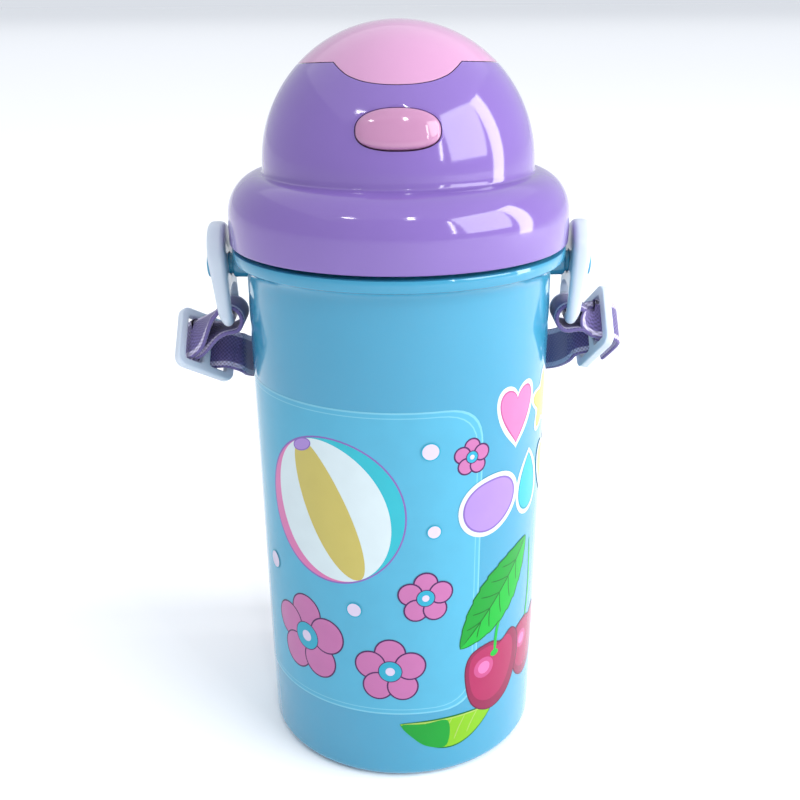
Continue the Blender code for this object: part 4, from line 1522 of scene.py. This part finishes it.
@dataclass
class Webbing:
    """One length of webbing: through each slide and ring, behind the bottle, and folded into a hank."""

    left: StrapSide
    right: StrapSide
    material: bpy.types.Material
    layers: int = 8
    pitch: float = 1.6
    hank_y: float = 45.0
    hank_z: tuple[float, float] = (3.0, 79.0)

    def ring_loop(self, strap: StrapSide) -> list[Vector]:
        """Round the ring's foot bar, from the upper layer to the lower one.

        Args:
            strap: Frame of that side's slide.

        Returns:
            The points.
        """
        lean = (Dim.FOOT_BAR_Z - Dim.LUG_Z) * Dim.RING_LEAN
        # The bar is 2.8 mm thick, so its middle lies half of that outside the ring's inner face.
        bar = Vector((strap.side * (Dim.RING_X - Dim.RING_INSET + 1.4 + lean), 0.0, Dim.FOOT_BAR_Z))
        toward = strap.at(-3.75, 1.0) - bar
        toward = Vector((toward.x, 0.0, toward.z)).normalized()
        above = Vector((-toward.z * strap.side, 0.0, toward.x * strap.side))
        if above.z < 0:
            above = -above
        made = [
            bar + (toward * math.cos(math.radians(a)) + above * math.sin(math.radians(a))) * 3.4
            for a in range(62, 299, 30)
        ]
        return [bar + toward * 3.9 + above * 2.2] + made + [bar + toward * 3.9 - above * 2.2]

    def end(self, strap: StrapSide) -> list[tuple[Vector, Vector]]:
        """Stations of one end, from the cut tail to the main run.

        Args:
            strap: Frame of that side's slide.

        Returns:
            The stations, each a point and a width direction.
        """
        y, k = Vector((0.0, 1.0, 0.0)), strap.slack
        tail = [(6.5, -4.7 - k), (1.0, -4.7 - 1.2 * k), (-2.6, -4.3 - 1.2 * k)]
        tail += [(-4.35, -2.3 - k), (-4.6, 0.0), (-4.6, 2.4)]
        main = [(-2.9, 2.2), (-2.9, 0.0), (-2.55, -1.6), (-1.2, -2.6 - 0.4 * k), (0.5, -2.6 - 0.4 * k)]
        main += [(2.0, -1.85), (3.7, 0.0), (5.4, 1.85), (7.3, 2.45), (10.0, 2.5)]
        stations = [(strap.at(*point), strap.v) for point in tail]
        stations += [(point, y) for point in self.ring_loop(strap)]
        return stations + [(strap.at(*point), strap.v) for point in main]

    def run(self, side: int) -> list[tuple[Vector, Vector]]:
        """Stations of a run behind the bottle, down to the hank's top.

        Args:
            side: -1 on the left and 1 on the right.

        Returns:
            The stations, each a point and a width direction.
        """
        y, tall, turning = Vector((0.0, 1.0, 0.0)), Vector((0.0, 0.5, 0.86)), Vector((0.0, 0.8, 0.6))
        far = [(40.2, 16.0, 99.6), (33.5, 28.5, 95.6), (22.0, 38.6, 91.6)]
        if side > 0:
            far = [(42.2, 18.0, 100.6), (35.0, 29.0, 96.4), (23.0, 38.9, 92.0)]
        stations = [(Vector((side * x, py, z)), tall) for x, py, z in far]
        close = [((11.5, 44.0, 88.0), turning), ((6.9, 45.0, 84.4), y), ((5.6, 45.0, 80.5), y)]
        return stations + [(Vector((side * p[0], p[1], p[2])), w) for p, w in close]

    def hank(self) -> list[tuple[Vector, Vector]]:
        """Stations of the folded length, in at the top left and out at the top right."""
        y, radius = Vector((0.0, 1.0, 0.0)), self.pitch / 2
        first = -self.pitch * (self.layers - 1) / 2
        points: list[tuple[float, float, float]] = []
        for layer in range(self.layers):
            x = first + self.pitch * layer
            down = layer % 2 == 0
            low, high = self.hank_z
            ends = (high, low) if down else (low, high)
            points += [(x, self.hank_y, ends[0] + (ends[1] - ends[0]) * i / 12) for i in range(13)]
            if layer == self.layers - 1:
                break
            sign = -1 if down else 1
            for degrees in range(20, 180, 20):
                a = math.radians(degrees)
                points.append((x + radius - radius * math.cos(a), self.hank_y, ends[1] + sign * radius * math.sin(a)))
        return [(Vector(point), y) for point in points]

    def stations(self) -> list[tuple[Vector, Vector]]:
        """All stations of the webbing in order."""
        made = []
        for strap, side in ((self.left, -1), (self.right, 1)):
            raw = self.end(strap) + self.run(side)
            points = catmull([point for point, _ in raw], 6)
            widths = catmull([width for _, width in raw], 6)
            made.append(list(zip(points, widths)))
        return made[0] + self.hank() + list(reversed(made[1]))

    def build(self) -> bpy.types.Object:
        """Makes the piece with UVs in which V is the length in metres.

        Returns:
            The webbing.
        """
        stations = self.stations()
        half = [(-1.0, -0.55), (-0.6, -1.0), (0.6, -1.0), (1.0, -0.55)]
        section = half + [(-a, -b) for a, b in half]
        half_w, half_t = Dim.WEB_WIDTH / 2, Dim.WEB_THICK / 2
        rings, lengths = [], [0.0]
        for i, (point, width) in enumerate(stations):
            tangent = (stations[min(i + 1, len(stations) - 1)][0] - stations[max(i - 1, 0)][0]).normalized()
            across = (width - tangent * width.dot(tangent)).normalized()
            thick = tangent.cross(across).normalized()
            ring = []
            for a, b in section:
                reach = half_w if abs(a) == 1.0 else half_w - 0.35
                ring.append(point + across * math.copysign(reach, a) + thick * b * half_t)
            rings.append(ring)
            if i:
                lengths.append(lengths[-1] + (point - stations[i - 1][0]).length)
        obj = to_object("webbing_woven", loft(rings), self.material, 60)
        mesh = obj.data
        layer = mesh.uv_layers.new(name="tape")
        across_of = (0.0, 0.035, 0.965, 1.0, 1.0, 0.965, 0.035, 0.0)
        for loop in mesh.loops:
            ring, corner = divmod(loop.vertex_index, len(section))
            layer.data[loop.index].uv = (across_of[corner], lengths[ring] * MM)
        finish_piece(obj, "strap", ["strap_webbing"])
        return obj


@dataclass
class ButtonSpring:
    """Small coil behind the button."""

    material: bpy.types.Material
    travel: float = 2.5
    shape: ButtonShape = field(default_factory=ButtonShape)

    def build(self) -> bpy.types.Object:
        """Makes the piece from the frame's own coil.

        Returns:
            The spring.
        """
        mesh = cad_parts["button_spring"].data.copy()
        mesh.materials.clear()
        mesh.materials.append(self.material)
        smooth_mesh(mesh)
        spring = add_object("button_spring_wound", mesh)
        centre, normal, _ = self.shape.axes()
        finish_piece(spring, "cap", ["button_spring"])
        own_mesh(spring)
        return spring


@dataclass(frozen=True)
class InnerPiece:
    """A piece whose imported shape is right: the same mesh, shaded smooth between its real edges."""

    node: str
    body: str
    slot: str
    material: bpy.types.Material
    crease: float = 40.0

    def build(self) -> bpy.types.Object:
        """Makes the piece.

        Returns:
            The piece.
        """
        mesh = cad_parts[self.node].data.copy()
        mesh.name = self.node + "_finished"
        mesh.materials.clear()
        mesh.materials.append(self.material)
        bm = bmesh.new()
        bm.from_mesh(mesh)
        bmesh.ops.remove_doubles(bm, verts=bm.verts, dist=2e-6)
        bmesh.ops.recalc_face_normals(bm, faces=bm.faces)
        bm.to_mesh(mesh)
        bm.free()
        smooth_mesh(mesh, self.crease)
        piece = add_object(self.node + "_finished", mesh)
        return finish_piece(piece, self.body, [self.node])


@dataclass
class SoftLight:
    """One rectangular lamp aimed at a point, in metres and watts."""

    name: str
    place: tuple[float, float, float]
    aim: tuple[float, float, float]
    size: Point2
    power: float
    colour: str = "#FFFFFF"

    def build(self) -> bpy.types.Object:
        """Makes the lamp.

        Returns:
            The lamp.
        """
        data = bpy.data.lights.new(self.name, "AREA")
        data.shape = "RECTANGLE"
        data.size, data.size_y = self.size
        data.energy = self.power
        data.color = srgb(self.colour)[:3]
        lamp = add_object(self.name, data)
        lamp.location = self.place
        direction = Vector(self.aim) - Vector(self.place)
        lamp.rotation_euler = direction.to_track_quat("-Z", "Y").to_euler()
        return lamp


@dataclass
class Studio:
    """Camera, floor and light."""

    floor: bpy.types.Material
    eye: tuple[float, float, float] = (0.0, -0.2697, 0.19163)
    look_down: float = 20.216
    roll: float = -0.419
    lens: float = 48.96
    floor_reach_mm: float = 40000.0
    floor_gap: float = 0.0002
    surround: str = "#F2F7FF"
    surround_strength: float = 0.8

    def camera(self) -> None:
        """Camera just above the dome's top, looking down at the bottle's front."""
        data = bpy.data.cameras.new("camera")
        data.sensor_width = 36.0
        data.lens = self.lens
        data.clip_start = 0.01
        camera = add_object("camera", data)
        pitch = Matrix.Rotation(math.radians(90.0 - self.look_down), 4, "X")
        roll = Matrix.Rotation(math.radians(self.roll), 4, "Z")
        camera.matrix_world = Matrix.Translation(self.eye) @ (pitch @ roll)
        bpy.context.scene.camera = camera

    def ground(self) -> None:
        """Large plain floor."""
        bm = bmesh.new()
        bmesh.ops.create_grid(bm, x_segments=1, y_segments=1, size=self.floor_reach_mm)
        floor = to_object("studio_floor", bm, self.floor)
        floor.location.z = -self.floor_gap

    def lights(self) -> None:
        """Window light from the right, small lamps for the highlights, a wide overhead and a pale surround."""
        world = bpy.data.worlds.new("surround")
        world.use_nodes = True
        background = world.node_tree.nodes["Background"]
        background.inputs[0].default_value = srgb(self.surround)
        background.inputs[1].default_value = self.surround_strength
        bpy.context.scene.world = world
        lamps = (
            SoftLight("window_right", (0.95, -0.02, 0.40), (0.0, 0.0, 0.1), (0.22, 0.9), 5.0),
            SoftLight("side_fill", (1.5, -0.85, 0.9), (0.0, 0.0, 0.1), (1.2, 1.2), 25.0),
            SoftLight("overhead", (0.0, 1.5, 6.0), (0.0, 1.5, 0.0), (14.0, 14.0), 210.0),
            SoftLight("window_front", (0.10, -0.6, 0.78), (0.0, 0.0, 0.13), (0.05, 0.09), 0.5),
            SoftLight("window_left", (-0.42, -0.52, 0.78), (0.0, 0.0, 0.13), (0.12, 0.04), 0.3),
            SoftLight("window_low", (0.42, -0.60, 0.42), (0.0, 0.0, 0.1), (0.03, 0.36), 0.5),
        )
        for lamp in lamps:
            lamp.build()

    def build(self) -> None:
        """Makes the whole set."""
        self.camera()
        self.ground()
        self.lights()
        bpy.context.scene.view_settings.view_transform = "Standard"


def write_sizes() -> None:
    """Brings the view layer up to date."""
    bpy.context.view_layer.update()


def main() -> None:
    """Builds every piece in order."""
    logging.basicConfig(level=logging.INFO, format="%(name)s %(message)s")
    blue = MouldedPlastic("moulded_polypropylene_sky_blue", "#348CAD").build()
    purple = MouldedPlastic("moulded_polypropylene_lavender", "#775DA5").build()
    pink = MouldedPlastic("moulded_polypropylene_pale_pink", "#BF8BB1").build()
    button_pink = MouldedPlastic("moulded_polypropylene_rose", "#AE7A9D").build()
    white = MouldedPlastic("moulded_polypropylene_natural_white", "#C4CEDA", 0.3, 0.3).build()
    silicone = SoftSilicone("moulded_silicone_clear", "#E6ECEE").build()
    steel = DrawnSteel("drawn_stainless_wire").build()
    tape = WovenWebbing("woven_polyester_webbing", "#6A5E96", "#C6BEDA", 11.0, 0.9, 1.1).build()
    elastic = WovenWebbing("woven_elastic_band", "#56498A", "#8579B4", 5.0).build()
    BottleBody(blue).build()
    inks = {ink: PrintInk("transfer_ink_" + ink.name.lower(), ink.value).build() for ink in Ink}
    Artwork(inks).build()
    CapShell(purple).build()
    FlipLid(pink).build()
    PushButton(button_pink).build()
    ButtonSpring(steel).build()
    Spout(silicone).build()
    left = StrapSide(-1, Vector((-50.8, 3.5, 106.9)), 43.0, 0.0)
    right = StrapSide(1, Vector((50.4, 2.6, 111.2)), 72.0, 0.8)
    StrapRing("left_ring", -1, white).build()
    StrapRing("right_ring", 1, white).build()
    SlideAdjuster("left_adjuster", left, white).build()
    SlideAdjuster("right_adjuster", right, white).build()
    Webbing(left, right, tape).build()
    inner = (
        InnerPiece("seal_ring", "cap_carrier", "silicone", silicone),
        InnerPiece("cap_insert", "cap", "natural_white", white),
        InnerPiece("lid_liner", "lid", "silicone", silicone, 70.0),
        InnerPiece("hinge_pin", "cap", "spring_steel", steel),
        InnerPiece("lid_spring", "cap", "spring_steel", steel, 80.0),
        InnerPiece("spout_base", "cap", "natural_white", white),
        InnerPiece("straw", "cap", "natural_white", white, 50.0),
        InnerPiece("vent_valve", "cap", "silicone", silicone),
        InnerPiece("strap_tie", "strap", "elastic_violet", elastic),
    )
    for piece in inner:
        piece.build()
    Studio(StudioFloor().build()).build()
    write_sizes()


if __name__ == "__main__":
    main()
